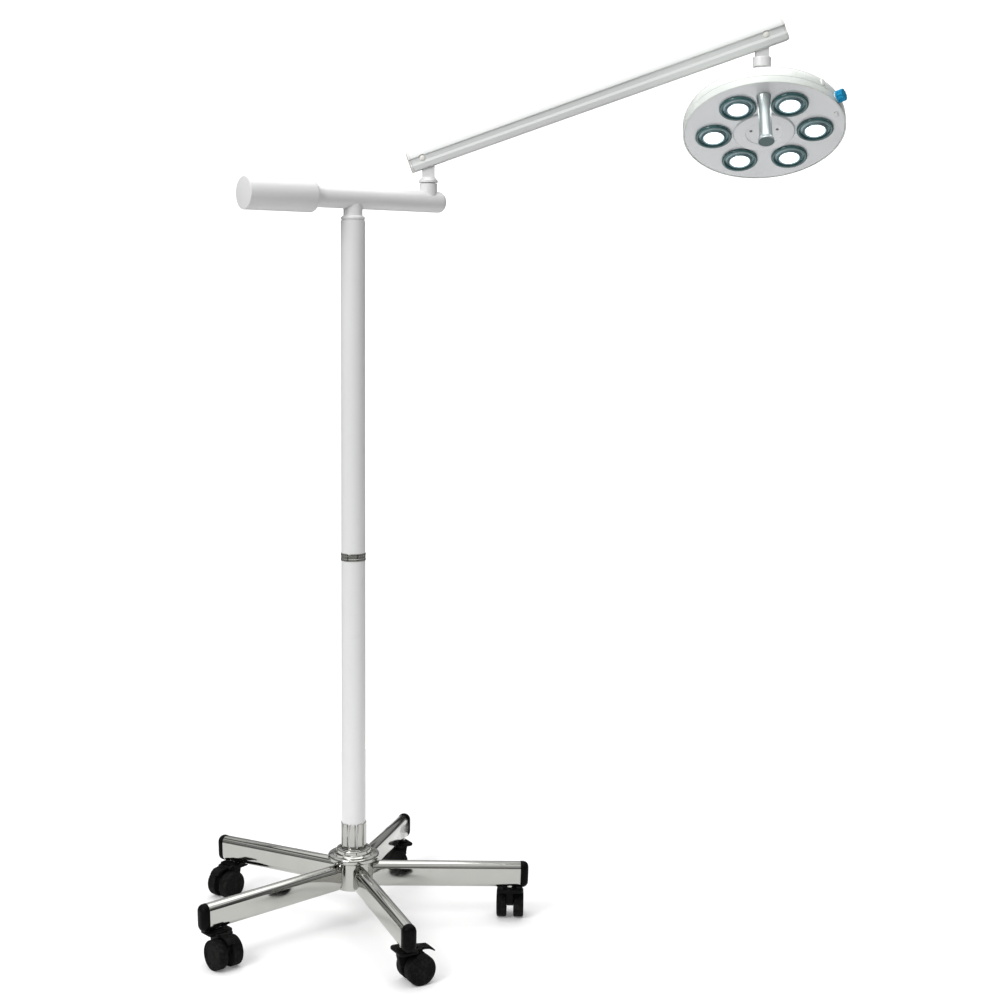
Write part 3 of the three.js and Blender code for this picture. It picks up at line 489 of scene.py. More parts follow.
class Graph:
    """A graph of shader nodes."""

    def __init__(self, tree: bpy.types.NodeTree) -> None:
        """Keeps the tree the nodes go in."""
        self.tree = tree

    def node(self, kind: str, inputs: dict, output: int | str = 0, **settings: object) -> Wire:
        """Adds any node.

        Args:
            kind: the node's type name.
            inputs: values or wires by socket name or number.
            output: the socket to return.
            settings: properties of the node, or the stops of its ramp.

        Returns:
            The wire from the chosen output.
        """
        made = self.tree.nodes.new(kind)
        for name, value in settings.items():
            if name == "stops":
                self.set_stops(made.color_ramp.elements, value)
            else:
                setattr(made, name, value)
        for key, value in inputs.items():
            self.feed(made.inputs[key], value)
        return Wire(self, made.outputs[output])

    def feed(self, socket: bpy.types.NodeSocket, value: object) -> None:
        """Links a wire to a socket, or sets the socket's own value.

        Args:
            socket: the input socket.
            value: a wire, or a plain value.
        """
        if isinstance(value, Wire):
            self.tree.links.new(value.socket, socket)
        else:
            socket.default_value = value

    def place(self) -> Wire:
        """Returns the object's own coordinates, in metres."""
        return self.node("ShaderNodeTexCoord", {}, "Object")

    def local(self, place: Place, stretch: tuple[float, float, float] = (1, 1, 1)) -> Wire:
        """Returns coordinates in a sub-assembly's own frame, in metres.

        Args:
            place: where the sub-assembly's frame stands.
            stretch: how much each axis is compressed afterwards.

        Returns:
            The coordinates.
        """
        where, turn, _ = place.matrix.decompose()
        own = self.node(
            "ShaderNodeMapping",
            {"Vector": self.place(), "Location": where, "Rotation": turn.to_euler()},
            vector_type="TEXTURE",
        )
        inputs = {0: own, 1: stretch}
        return self.node("ShaderNodeVectorMath", inputs, operation="MULTIPLY")

    def noise(self, where: Wire, scale: float, detail: float = 2, rough: float = 0.5) -> Wire:
        """Returns a noise value about 0.5 at so many cells a metre."""
        inputs = {"Vector": where, "Scale": scale, "Detail": detail, "Roughness": rough}
        return self.node("ShaderNodeTexNoise", inputs)

    def span(self, value: Wire, low: float, high: float) -> Wire:
        """Returns a value stretched from a range to 0 and 1, and held between them."""
        inputs = {"Value": value, "From Min": low, "From Max": high}
        return self.node("ShaderNodeMapRange", inputs)

    def mix(self, factor: Wire, first: object, second: object) -> Wire:
        """Returns a colour between two others."""
        inputs = {0: factor, 6: first, 7: second}
        return self.node("ShaderNodeMix", inputs, 2, data_type="RGBA")

    def set_stops(self, marks: bpy.types.ColorRampElements, stops: tuple[Point, ...]) -> None:
        """Gives a ramp its stops, as pairs of a position and a brightness.

        Args:
            marks: the ramp's marks.
            stops: the stops.
        """
        while len(marks) < len(stops):
            marks.new(0.5)
        for mark, (at, grey) in zip(marks, stops):
            mark.position, mark.color = at, (grey, grey, grey, 1)

    def ramp(self, value: Wire, stops: tuple[Point, ...]) -> Wire:
        """Returns a grey read from stops of (position, brightness)."""
        return self.node("ShaderNodeValToRGB", {0: value}, stops=stops)

    def bump(self, height: Wire, depth: float) -> Wire:
        """Returns a normal from a height between 0 and 1 and its depth in metres."""
        inputs = {"Height": height, "Distance": depth, "Strength": 1.0}
        return self.node("ShaderNodeBump", inputs, "Normal")


class Coating(Graph):
    """A material's graph, with one Principled shader."""

    def __init__(self, name: str) -> None:
        """Starts a material.

        Args:
            name: the material's name.
        """
        self.material = bpy.data.materials.new(name)
        self.material.use_nodes = True
        super().__init__(self.material.node_tree)
        self.shader = self.tree.nodes["Principled BSDF"]

    def finish(self, **inputs: object) -> bpy.types.Material:
        """Feeds the shader's sockets, named with underscores, and returns the material.

        Args:
            inputs: values or wires by socket name, with underscores for spaces.

        Returns:
            The material.
        """
        for name, value in inputs.items():
            self.feed(self.shader.inputs[name.replace("_", " ")], value)
        return self.material


Colour = tuple[float, float, float]


def shade(colour: Colour, factor: float = 1.0) -> tuple[float, float, float, float]:
    """Returns a colour made lighter or darker, with its alpha."""
    return (*(min(1.0, c * factor) for c in colour), 1.0)


# ------------------------------------------------------------------ finishes


@dataclass(frozen=True)
class Finish:
    """What every finish has: a name and its main colour."""

    name: str
    colour: Colour

    def material(self) -> bpy.types.Material:
        """Returns the finish's material, made once."""
        found = bpy.data.materials.get(self.name)
        return found or self.made(Coating(self.name))

    def made(self, graph: Coating) -> bpy.types.Material:
        """Builds the material's nodes."""
        raise NotImplementedError


@dataclass(frozen=True)
class PowderCoat(Finish):
    """Baked powder paint: faint orange peel, slow clouds of tone, small rubbed patches."""

    roughness: float = 0.36
    peel: float = 0.00003
    coat: float = 0.25

    def made(self, graph: Coating) -> bpy.types.Material:
        """Builds the paint.

        Args:
            graph: the material's own graph.

        Returns:
            The material.
        """
        here = graph.place()
        cloud = graph.noise(here, 7, 3)
        rubbed = graph.span(graph.noise(here, 38, 5, 0.62), 0.58, 0.72)
        base = graph.mix(cloud, shade(self.colour), shade(self.colour, 0.965))
        tone = graph.mix(rubbed * 0.35, base, shade(self.colour, 0.90))
        peel = graph.noise(here, 620, 2) + graph.noise(here, 150, 2) * 0.6
        return graph.finish(
            Base_Color=tone,
            Roughness=self.roughness + cloud * 0.06 + rubbed * 0.12,
            Coat_Weight=self.coat - rubbed * 0.15,
            Coat_Roughness=0.18,
            Normal=graph.bump(peel, self.peel),
        )


@dataclass(frozen=True)
class ChromePlate(Finish):
    """Bright chrome over tube: slight waves, wipe marks and a few dull specks."""

    roughness: float = 0.07
    wave: float = 0.00006

    def made(self, graph: Coating) -> bpy.types.Material:
        """Builds the plating.

        Args:
            graph: the material's own graph.

        Returns:
            The material.
        """
        here = graph.place()
        smear = graph.noise(here, 26, 4, 0.6)
        specks = graph.span(graph.noise(here, 420, 2), 0.70, 0.76)
        tone = graph.mix(smear, shade(self.colour), shade(self.colour, 0.9))
        return graph.finish(
            Base_Color=graph.mix(specks * 0.5, tone, shade(self.colour, 0.6)),
            Metallic=1.0,
            Roughness=self.roughness + graph.span(smear, 0.45, 0.8) * 0.14 + specks * 0.2,
            Normal=graph.bump(graph.noise(here, 34, 1), self.wave),
        )


@dataclass(frozen=True)
class MouldedPlastic(Finish):
    """Moulded plastic: fine spark texture, dust in the grain and paler rubbed edges."""

    roughness: float = 0.42
    grain: float = 0.00004
    dust: float = 0.25

    def made(self, graph: Coating) -> bpy.types.Material:
        """Builds the plastic.

        Args:
            graph: the material's own graph.

        Returns:
            The material.
        """
        here = graph.place()
        grain = graph.noise(here, 900, 2)
        patch = graph.span(graph.noise(here, 55, 5, 0.65), 0.50, 0.75)
        edge = graph.node("ShaderNodeNewGeometry", {}, "Pointiness")
        rubbed = graph.span(edge, 0.53, 0.62) * graph.span(graph.noise(here, 120, 3), 0.4, 0.6)
        lighter = tuple(0.9 * c + 0.018 for c in self.colour)
        dusty = graph.mix(patch * self.dust, shade(self.colour), shade(lighter))
        return graph.finish(
            Base_Color=graph.mix(rubbed * 0.4, dusty, shade(lighter, 1.3)),
            Roughness=self.roughness + patch * 0.18 + grain * 0.05,
            Specular_IOR_Level=0.04,
            Normal=graph.bump(grain, self.grain),
        )


@dataclass(frozen=True)
class GlossShell(Finish):
    """Glossy moulded shell: a slow ripple, faint handling smears and slight ageing."""

    roughness: float = 0.24
    ripple: float = 0.00002

    def made(self, graph: Coating) -> bpy.types.Material:
        """Builds the shell.

        Args:
            graph: the material's own graph.

        Returns:
            The material.
        """
        here = graph.place()
        cloud = graph.noise(here, 4, 2)
        smear = graph.span(graph.noise(here, 16, 4, 0.6), 0.5, 0.75)
        aged = tuple(c * f for c, f in zip(self.colour, (0.985, 0.98, 0.955)))
        tone = graph.mix(cloud, shade(self.colour), shade(aged))
        return graph.finish(
            Base_Color=graph.mix(smear * 0.2, tone, shade(self.colour, 0.96)),
            Roughness=self.roughness + smear * 0.12 + cloud * 0.04,
            Coat_Weight=0.6 - smear * 0.25,
            Coat_Roughness=0.1,
            Normal=graph.bump(graph.noise(here, 240, 2), self.ripple),
        )


@dataclass(frozen=True)
class TreadRubber(Finish):
    """Black wheel plastic and tread: matt, scuffed and dusty."""

    roughness: float = 0.62

    def made(self, graph: Coating) -> bpy.types.Material:
        """Builds the tread.

        Args:
            graph: the material's own graph.

        Returns:
            The material.
        """
        here = graph.place()
        scuff = graph.span(graph.noise(here, 160, 5, 0.7), 0.48, 0.72)
        dust = graph.span(graph.noise(here, 28, 4), 0.45, 0.8)
        worn = graph.mix(scuff * 0.5, shade(self.colour), shade((0.035, 0.035, 0.034)))
        return graph.finish(
            Base_Color=graph.mix(dust * 0.2, worn, shade((0.06, 0.058, 0.054))),
            Roughness=self.roughness + scuff * 0.2,
            Specular_IOR_Level=0.04,
            Normal=graph.bump(graph.noise(here, 700, 3) + scuff * 0.5, 0.00008),
        )


@dataclass(frozen=True)
class BrushedMetal(Finish):
    """Metal with fine scratches across its own long axis."""

    place: Place = field(default_factory=lambda: Place(Matrix.Identity(4)))
    roughness: float = 0.28
    metallic: float = 1.0

    def made(self, graph: Coating) -> bpy.types.Material:
        """Builds the metal.

        Args:
            graph: the material's own graph.

        Returns:
            The material.
        """
        lines = graph.noise(graph.local(self.place, (1, 1, 26)), 90, 4, 0.65)
        broad = graph.noise(graph.place(), 30, 3)
        tone = graph.mix(lines, shade(self.colour, 0.88), shade(self.colour, 1.06))
        return graph.finish(
            Base_Color=graph.mix(broad * 0.4, tone, shade(self.colour, 0.85)),
            Metallic=self.metallic,
            Roughness=self.roughness + lines * 0.14 + broad * 0.06,
            Normal=graph.bump(lines, 0.00003),
        )


@dataclass(frozen=True)
class LitLens(Finish):
    """Lit diffusing lens: even white light, a little cooler and dimmer at its rim."""

    places: tuple[Place, ...] = ()
    radius: float = 19.8
    strength: float = 3.0

    def made(self, graph: Coating) -> bpy.types.Material:
        """Builds the lens.

        Args:
            graph: the material's own graph.

        Returns:
            The material.
        """
        here = graph.place()
        nearest = None
        for place in self.places:
            centre = place.matrix.translation
            apart = graph.node(
                "ShaderNodeVectorMath", {0: here, 1: centre}, "Value", operation="DISTANCE"
            )
            nearest = apart if nearest is None else nearest.least(apart)
        edge = graph.span(nearest, 0.00086 * self.radius, 0.00101 * self.radius)
        ripple = graph.noise(here, 800, 2)
        glow = graph.mix(edge, (1.0, 1.0, 1.0, 1.0), (0.72, 0.80, 0.82, 1.0))
        return graph.finish(
            Base_Color=graph.mix(ripple, shade(self.colour), shade(self.colour, 0.94)),
            Roughness=0.25 + ripple * 0.1,
            Emission_Color=glow,
            Emission_Strength=self.strength,
            Normal=graph.bump(ripple, 0.00002),
        )


@dataclass(frozen=True)
class Anodised(Finish):
    """Tinted metal trim under a clear gloss, a little cloudy, with a fine grain."""

    roughness: float = 0.2
    metallic: float = 0.8
    coat: float = 0.4

    def made(self, graph: Coating) -> bpy.types.Material:
        """Builds the trim.

        Args:
            graph: the material's own graph.

        Returns:
            The material.
        """
        here = graph.place()
        cloud = graph.noise(here, 60, 3)
        fine = graph.noise(here, 1100, 2)
        return graph.finish(
            Base_Color=graph.mix(cloud, shade(self.colour), shade(self.colour, 0.7)),
            Metallic=self.metallic,
            Roughness=self.roughness + cloud * 0.08 + fine * 0.05,
            Coat_Weight=self.coat * (1 - cloud * 0.2),
            Coat_Roughness=0.05,
            Coat_IOR=1.6,
            Normal=graph.bump(fine, 0.000015),
        )


class Palette:
    """The lamp's finishes."""

    white = PowderCoat("white powder coat", (0.83, 0.83, 0.83))
    arm_white = PowderCoat("arm lacquer", (0.76, 0.775, 0.765), roughness=0.3)
    chrome = ChromePlate("chrome plate", (0.46, 0.46, 0.435))
    black = MouldedPlastic("caster black", (0.004, 0.004, 0.004), roughness=0.4)
    cap_black = MouldedPlastic("cap black", (0.003, 0.003, 0.003), roughness=0.32)
    tread = TreadRubber("tread", (0.006, 0.006, 0.006))
    housing = GlossShell("dome white", (0.83, 0.87, 0.845))
    face = GlossShell("face grey", (0.89, 0.91, 0.94), roughness=0.2)
    clip = GlossShell("clip white", (0.86, 0.88, 0.88), roughness=0.2)
    cap_white = GlossShell("end cap white", (0.70, 0.70, 0.69), roughness=0.36)
    bezel = Anodised("trim teal", (0.014, 0.115, 0.120), metallic=0.0, coat=1.0)
    dish = Anodised("dish silver", (0.34, 0.48, 0.51), roughness=0.26)
    cream = PowderCoat("pin cream", (0.92, 0.91, 0.86), roughness=0.26)
    screw = BrushedMetal("screw steel", (0.20, 0.21, 0.22))
    spring = BrushedMetal("spring steel", (0.42, 0.43, 0.44), roughness=0.34)
    board = MouldedPlastic("board", (0.04, 0.10, 0.06), roughness=0.4)
    knob = MouldedPlastic("knob blue", (0.01, 0.27, 0.50), roughness=0.34, dust=0.08)


# ------------------------------------------------------------------ sub-assemblies


class Assembly:
    """A sub-assembly whose pieces are made, dressed and bound to the frame in one way."""

    body: str = "base"

    def piece(
        self,
        name: str,
        form: Form,
        place: Place,
        finish: Finish,
        slot: str,
        replaces: tuple[str, ...] = (),
        body: str | None = None,
    ) -> bpy.types.Object:
        """Turns a form into a finished piece.

        Args:
            name: the piece's name.
            form: its shape, in millimetres.
            place: where its own frame stands.
            finish: what it is dressed in.
            slot: the record's material slot; not used.
            replaces: the CAD nodes it stands for.
            body: the CAD body it moves with, if not the sub-assembly's own.

        Returns:
            The object, at the origin, with its place in its mesh.
        """
        mesh = bpy.data.meshes.new(name)
        form.mesh.to_mesh(mesh)
        mesh.transform(place.matrix)
        mesh.shade_smooth()
        mesh.set_sharp_from_angle(angle=math.radians(30))
        made = bpy.data.objects.new(name, mesh)
        bpy.context.scene.collection.objects.link(made)
        mesh.materials.append(finish.material())
        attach(made, body or self.body)
        if replaces:
            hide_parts(*replaces)
        LOG.info("%s: %d faces", name, len(mesh.polygons))
        return made


@dataclass
class StarBase(Assembly):
    """Hub, cover ring, column socket, and the sloping legs with their end caps."""

    frame: Frame
    legs: int = 5
    reach: float = 352.0
    inset: float = 22.0
    slope: float = 1.7
    height: float = 100.0
    oval_width: float = 28.0
    oval_height: float = 54.0
    wall: float = 2.5
    hub_radius: float = 42.0
    hub_below: float = 17.0
    hub_above: float = 31.0
    web: float = 7.0
    flange_radius: float = 54.0
    flange_height: float = 26.0
    socket_height: float = 53.0
    fingers: int = 10
    bore: float = 25.3
    cap_length: float = 16.8
    cap_lip: float = 0.6
    cap_round: float = 11.5
    gap: float = 0.3

    @property
    def stem(self) -> float:
        """Distance from the column to a caster's stem."""
        return self.reach - self.inset

    @property
    def hub_top(self) -> float:
        """Height of the hub's top face."""
        return self.height + self.stem * math.sin(math.radians(self.slope)) + self.hub_above

    def column_place(self) -> Place:
        """Returns the column's frame, with its origin on the floor.

        Returns:
            The place.
        """
        centre = self.frame.pivot("crossbar_swivel")
        floor = Vector((centre.x, centre.y, 0))
        return Place.at(floor, Vector((1, 0, 0)), Vector((0, 0, 1)))

    def leg_place(self, number: int) -> Place:
        """Returns a leg's frame, at the height of its tube over the caster.

        Args:
            number: which leg, from 1.

        Returns:
            The place.
        """
        centre = self.frame.pivot("crossbar_swivel")
        out = self.frame.pivot(f"caster_swivel_{number}") - centre
        out.z = 0
        start = Vector((centre.x, centre.y, self.height * 0.001))
        return Place.at(start, out, Vector((0, 0, 1)))

    def sloped(self, form: Form) -> Form:
        """Slopes a form about the middle of the tube over the caster's stem."""
        return form.moved(x=-self.stem).rolled(self.slope, Axis.Y).moved(x=self.stem)

    def run(self, inset: float, start: float, end: float) -> Form:
        """Makes a stretch of the leg's section along X, taken in by an inset.

        Args:
            inset: how much smaller its section is on every side.
            start: where it starts along X.
            end: where it ends.

        Returns:
            The form.
        """
        outline = flat_oval(self.oval_width - 2 * inset, self.oval_height - 2 * inset)
        bar = Form.plate([(z, y) for y, z in outline], end - start)
        return bar.along_x().moved(x=start)

    def leg_form(self) -> Form:
        """Makes a leg: an open tube fitted round the hub, with the caster's socket in it.

        Returns:
            The form.
        """
        start = self.hub_radius - 10
        tube = self.run(0, start, self.reach).softened(0.7, 2, 60)
        tube.less(self.run(self.wall, start - 5, self.reach + 5))
        self.sloped(tube)
        floor = self.wall / 2 - self.oval_height / 2
        tube.joined(rod(10.5, floor, 12).moved(x=self.stem))
        drum = rod(self.hub_radius + self.gap, -60, 60, 96)
        return tube.less(rod(5.8, -60, 9).moved(x=self.stem), drum)

    def cap_form(self) -> Form:
        """Makes a domed plug for the end of a leg.

        Returns:
            The form.
        """
        start = self.reach + self.gap
        outer = self.run(-self.cap_lip, start, start + self.cap_length)
        far = [v for v in outer.mesh.verts if v.co.x > start + 1]
        edges = [e for e in outer.mesh.edges if all(v in far for v in e.verts)]
        outer.rounded(edges, self.cap_round, 10).softened(0.4, 2, 60)
        plug = self.run(self.wall + 0.4, self.reach - 9, start + 2).softened(0.8, 2, 60)
        return self.sloped(outer.joined(plug))

    def hub_form(self) -> Form:
        """Makes the hub, with a blind bore for the column.

        Returns:
            The form.
        """
        low, radius = self.height - self.hub_below, self.hub_radius
        return Form.turned(
            [
                (0, low), (radius - 2.5, low),
                *arc(radius - 2.5, low + 2.5, 2.5, 280, 360, 4),
                (radius, self.hub_top - 0.8), (radius - 0.8, self.hub_top),
                (self.bore, self.hub_top), (self.bore, low + self.web), (0, low + self.web),
            ],
            96,
        )

    def flange_form(self) -> Form:
        """Makes the stepped cover ring.

        Returns:
            The form.
        """
        foot = self.hub_top + self.gap
        radius, height = self.flange_radius, self.flange_height
        return Form.turned(
            [
                (self.bore, foot), (radius - 4, foot),
                *arc(radius - 3.4, foot + 4.4, 3.4, 280, 360, 5),
                *arc(radius - 4.5, foot + 0.3 * height, 4.5, 0, 80, 6),
                (radius - 9, foot + 0.50 * height),
                *arc(radius - 12.5, foot + 0.52 * height, 2.0, 60, 150, 3),
                (radius - 15.4, foot + 0.56 * height),
                *arc(36.0 - 1.5, foot + 0.60 * height, 2.4, 60, 0, 3),
                (36.2, foot + 0.82 * height),
                *arc(33.6, foot + 0.84 * height, 2.6, 0, 85, 4),
                (31.0, foot + 0.955 * height),
                *arc(29.6, foot + 0.955 * height, 1.1, 20, 90, 3),
                (self.bore, foot + height),
            ],
            96,
        )

    def socket_form(self) -> Form:
        """Makes the sleeve whose rounded fingers grip the column's foot.

        Returns:
            The form.
        """
        foot = self.hub_top + 2 * self.gap + self.flange_height
        outer, top = self.bore + 1.3, foot + self.socket_height
        rim = [(outer, top - 0.5), (outer - 0.5, top), (self.bore, top)]
        sleeve = Form.turned([(self.bore, foot), (outer, foot), *rim], 120)
        half, flare = 1.5, 3.2
        outline = [(foot + 6, -half), (foot + 6, half)]
        outline += [(top - flare, half), *arc(top - flare, half + flare, flare, 270, 360, 5)[1:]]
        outline += [(top + 3, half + flare), (top + 3, -half - flare)]
        outline += [*arc(top - flare, -half - flare, flare, 0, 90, 5)[:-1], (top - flare, -half)]
        for i in range(self.fingers):
            slot = Form.plate([(z, y) for z, y in outline], 8).rolled(-90, Axis.Y)
            sleeve.less(slot.moved(x=self.bore + 6).rolled(360 / self.fingers * i, Axis.Z))
        return sleeve.softened(0.35, 2, 60)

    def build(self) -> None:
        """Builds the star base."""
        column, chrome = self.column_place(), Palette.chrome
        self.piece("base_hub", self.hub_form(), column, chrome, "chrome", ("hub",))
        self.piece("cover_ring", self.flange_form(), column, chrome, "chrome", ("hub_flange",))
        socket = self.socket_form()
        self.piece("socket_sleeve", socket, column, chrome, "chrome", ("column_socket",))
        leg, cap = self.leg_form(), self.cap_form()
        for i in range(1, self.legs + 1):
            place = self.leg_place(i)
            self.piece(f"leg_tube_{i}", leg, place, chrome, "chrome", (f"leg_{i}",))
            finish = Palette.cap_black
            self.piece(f"leg_cap_{i}", cap, place, finish, "cap_black", (f"leg_end_cap_{i}",))


@dataclass
class Casters(Assembly):
    """The twin-wheel casters, with their forks, wheels and foot pedals."""

    frame: Frame
    count: int = 5
    wheel: float = 30.0
    width: float = 21.0
    between: float = 15.0
    trail: float = 25.0
    neck: float = 15.0
    neck_top: float = 72.0
    stem: float = 5.5
    stem_length: float = 36.0
    hood_foot: float = 64.0
    hood_top: float = 70.0
    hinge: float = 26.0
    pedal_height: float = 67.0
    pedal_width: float = 24.0
    side: float = 0.8

    def place(self, number: int) -> Place:
        """Returns a caster's frame: stem over the origin on the floor, wheels trailing to +X.

        Args:
            number: which caster, from 1.

        Returns:
            The place.
        """
        stem = self.frame.pivot(f"caster_swivel_{number}")
        axle = self.frame.axis(f"wheel_spin_{number}a")
        floor, up = Vector((stem.x, stem.y, 0)), Vector((0, 0, 1))
        return Place.at(floor, axle.cross(up), up)

    def fork_form(self) -> Form:
        """Makes the hood, web, neck, stem and axle, with ears for the pedal.

        Returns:
            The form.
        """
        half = self.between / 2 - self.side
        top, trail, wheel = self.pedal_height, self.trail, self.wheel
        outline = [
            (-self.neck, top), (-self.neck, 0.86 * top),
            *arc(-0.35 * self.neck, 0.62 * top, 0.5 * self.neck, 160, 200, 4),
            *arc(trail, wheel, 8, 215, 325, 8), (trail + 19, wheel + 5),
            (trail + 21, wheel + 15), *arc(trail - 1, wheel + 6, 22.5, 30, 75, 5),
            (19, top),
        ]
        web = Form.plate(outline, 2 * half).rolled(90, Axis.X).moved(y=half).softened(1.2, 3, 40)
        hood = Form.plate(rounded_box(40, 54, 8), self.hood_top - self.hood_foot)
        hood.moved(z=self.hood_foot).softened(1.8, 4, 40)
        neck = Form.turned(
            [
                (0, 60), (self.neck - 1, 60), (self.neck, 66),
                (self.neck, self.neck_top - 0.8), (self.neck - 0.8, self.neck_top),
                (self.stem, self.neck_top),
                (self.stem, self.neck_top + self.stem_length - 1),
                (self.stem - 1, self.neck_top + self.stem_length),
                (0, self.neck_top + self.stem_length),
            ],
            48,
        )
        axle_half = self.between / 2 + 16
        axle = rod(4, -axle_half, axle_half, 24).along_y().moved(x=trail, z=wheel)
        ear_in = self.pedal_width / 2 + self.side
        ears = []
        for side in (-1, 1):
            ear = Form.plate(rounded_box(16, 6, 2.9), 5).rolled(90, Axis.X)
            shift = ear_in + 5 if side > 0 else -ear_in
            ears.append(ear.moved(x=self.hinge - 3, y=shift, z=self.pedal_height))
        room = Form.block((20.01, -ear_in, 62), (33, ear_in, 72))
        hole = rod(1.97, -30, 30, 16).along_y().moved(x=self.hinge, z=self.pedal_height)
        return hood.joined(web, neck, axle, *ears).less(hole, room)

    def wheel_form(self) -> Form:
        """Makes a wheel with its inner side at height 0: grooved tread and a dished disc.

        Returns:
            The form.
        """
        r, w = self.wheel, self.width
        return Form.turned(
            [
                (0, 16.8), (4.18, 16.8), (4.18, 0), (11, 0), (12, 1.2), (r - 5, 1.2),
                (r - 4, 0), (r - 2.5, 0), *arc(r - 2.2, 2.2, 2.2, 290, 360, 4), (r, 6.0),
                (r - 0.5, 6.4), (r, 6.8), (r, 10.2), (r - 0.5, 10.6), (r, 11.0), (r, 14.4),
                (r - 0.5, 14.8), (r, 15.2), *arc(r - 3.8, w - 3.8, 3.8, 0, 70, 6),
                (r - 4.4, w), (r - 4.9, w - 0.9), (r - 5.6, w - 1.5),
                *arc(r - 9.4, w - 1.9, 1.0, 90, 180, 3), (8.5, w - 2.1), (8.0, w - 1.5),
                (0, w - 1.4),
            ],
            72,
        )

    def pedal_form(self) -> Form:
        """Makes the foot pedal with its barrel and pin, and ribs on its tread.

        Returns:
            The form.
        """
        x, z, half = self.hinge, self.pedal_height, self.pedal_width / 2
        outline = [
            (x, z + 2.9), *arc(x, z, 2.9, 180, 270, 4), (x + 12, z - 2.4),
            (x + 22, z - 3.8), (x + 30, z - 7.6), *arc(x + 33.4, z - 8.4, 1.3, 240, 400, 5),
            (x + 31, z - 4.0), (x + 25, z + 0.4), (x + 16, z + 1.4), (x + 8, z + 2.4),
        ]
        blade = Form.plate(outline, 2 * half).rolled(90, Axis.X).moved(y=half).softened(0.7, 3, 40)
        for i in range(3):
            groove = rod(0.7, -half + 3, half - 3, 10).along_y()
            blade.less(groove.moved(x=x + 13 + 3.4 * i, z=z + 1.9 - 0.35 * i))
        reach = half + self.side + 4
        return blade.joined(rod(1.8, -reach, reach, 16).along_y().moved(x=x, z=z))

    def build(self) -> None:
        """Builds every caster."""
        fork, wheel, pedal = self.fork_form(), self.wheel_form(), self.pedal_form()
        black = Palette.black
        for i in range(1, self.count + 1):
            place = self.place(i)
            nodes = (f"caster_fork_{i}",)
            self.piece(f"fork_{i}", fork, place, black, "caster_black", nodes, f"caster_{i}")
            nodes = (f"brake_pedal_{i}",)
            self.piece(f"pedal_{i}", pedal, place, black, "caster_black", nodes, f"pedal_{i}")
            axle = place.moved(x=self.trail, z=self.wheel)
            for side, letter in ((-1, "a"), (1, "b")):
                hub = axle.moved(y=side * self.between / 2).turned(-90 * side, Axis.X)
                name, nodes = f"wheel_{i}{letter}", (f"caster_wheel_{i}{letter}",)
                self.piece(name, wheel, hub, Palette.tread, "tread_black", nodes, name)


@dataclass
class Column(Assembly):
    """The two column tubes and the ring that couples them."""

    base: StarBase
    radius: float = 25.0
    wall: float = 2.0
    foot: float = 90.3
    lower: float = 683.0
    upper: float = 686.0
    ring: float = 15.5
    spigot: float = 60.0
    gap: float = 0.3

    def tube_form(self, low: float, high: float) -> Form:
        """Makes a tube with its cut ends slightly broken.

        Args:
            low: the height of its lower end.
            high: the height of its upper end.

        Returns:
            The form.
        """
        r, bore = self.radius, self.radius - self.wall
        foot, head = [(r - 0.4, low), (r, low + 0.4)], [(r, high - 0.4), (r - 0.4, high)]
        return Form.turned([(bore, low), *foot, *head, (bore, high)], 96)

    def ring_form(self, low: float) -> Form:
        """Makes the coupling ring, with a spigot into each tube.

        Args:
            low: the height of its lower face.

        Returns:
            The form.
        """
        outer, spigot = self.radius + 1, self.radius - self.wall - self.gap
        high, bore = low + self.ring, spigot - 3
        return Form.turned(
            [
                (bore, low - self.spigot), (spigot, low - self.spigot), (spigot, low),
                (outer - 0.9, low), *arc(outer - 0.9, low + 0.9, 0.9, 290, 360, 3),
                (outer, low + 4.4), (outer - 0.5, low + 4.9), (outer - 0.5, high - 4.9),
                (outer, high - 4.4), *arc(outer - 0.9, high - 0.9, 0.9, 0, 70, 3),
                (outer - 0.9, high), (spigot, high), (spigot, high + self.spigot),
                (bore, high + self.spigot),
            ],
            96,
        )

    def build(self) -> None:
        """Builds the column."""
        place, white = self.base.column_place(), Palette.white
        joint = self.foot + self.lower
        upper = joint + 2 * self.gap + self.ring
        lower_tube = self.tube_form(self.foot, joint)
        self.piece("column_tube_lower", lower_tube, place, white, "powder_white", ("column_lower",))
        ring = self.ring_form(joint + self.gap)
        self.piece("coupling_ring", ring, place, Palette.chrome, "chrome", ("column_coupling",))
        upper_tube = self.tube_form(upper, upper + self.upper)
        self.piece("column_tube_upper", upper_tube, place, white, "powder_white", ("column_upper",))


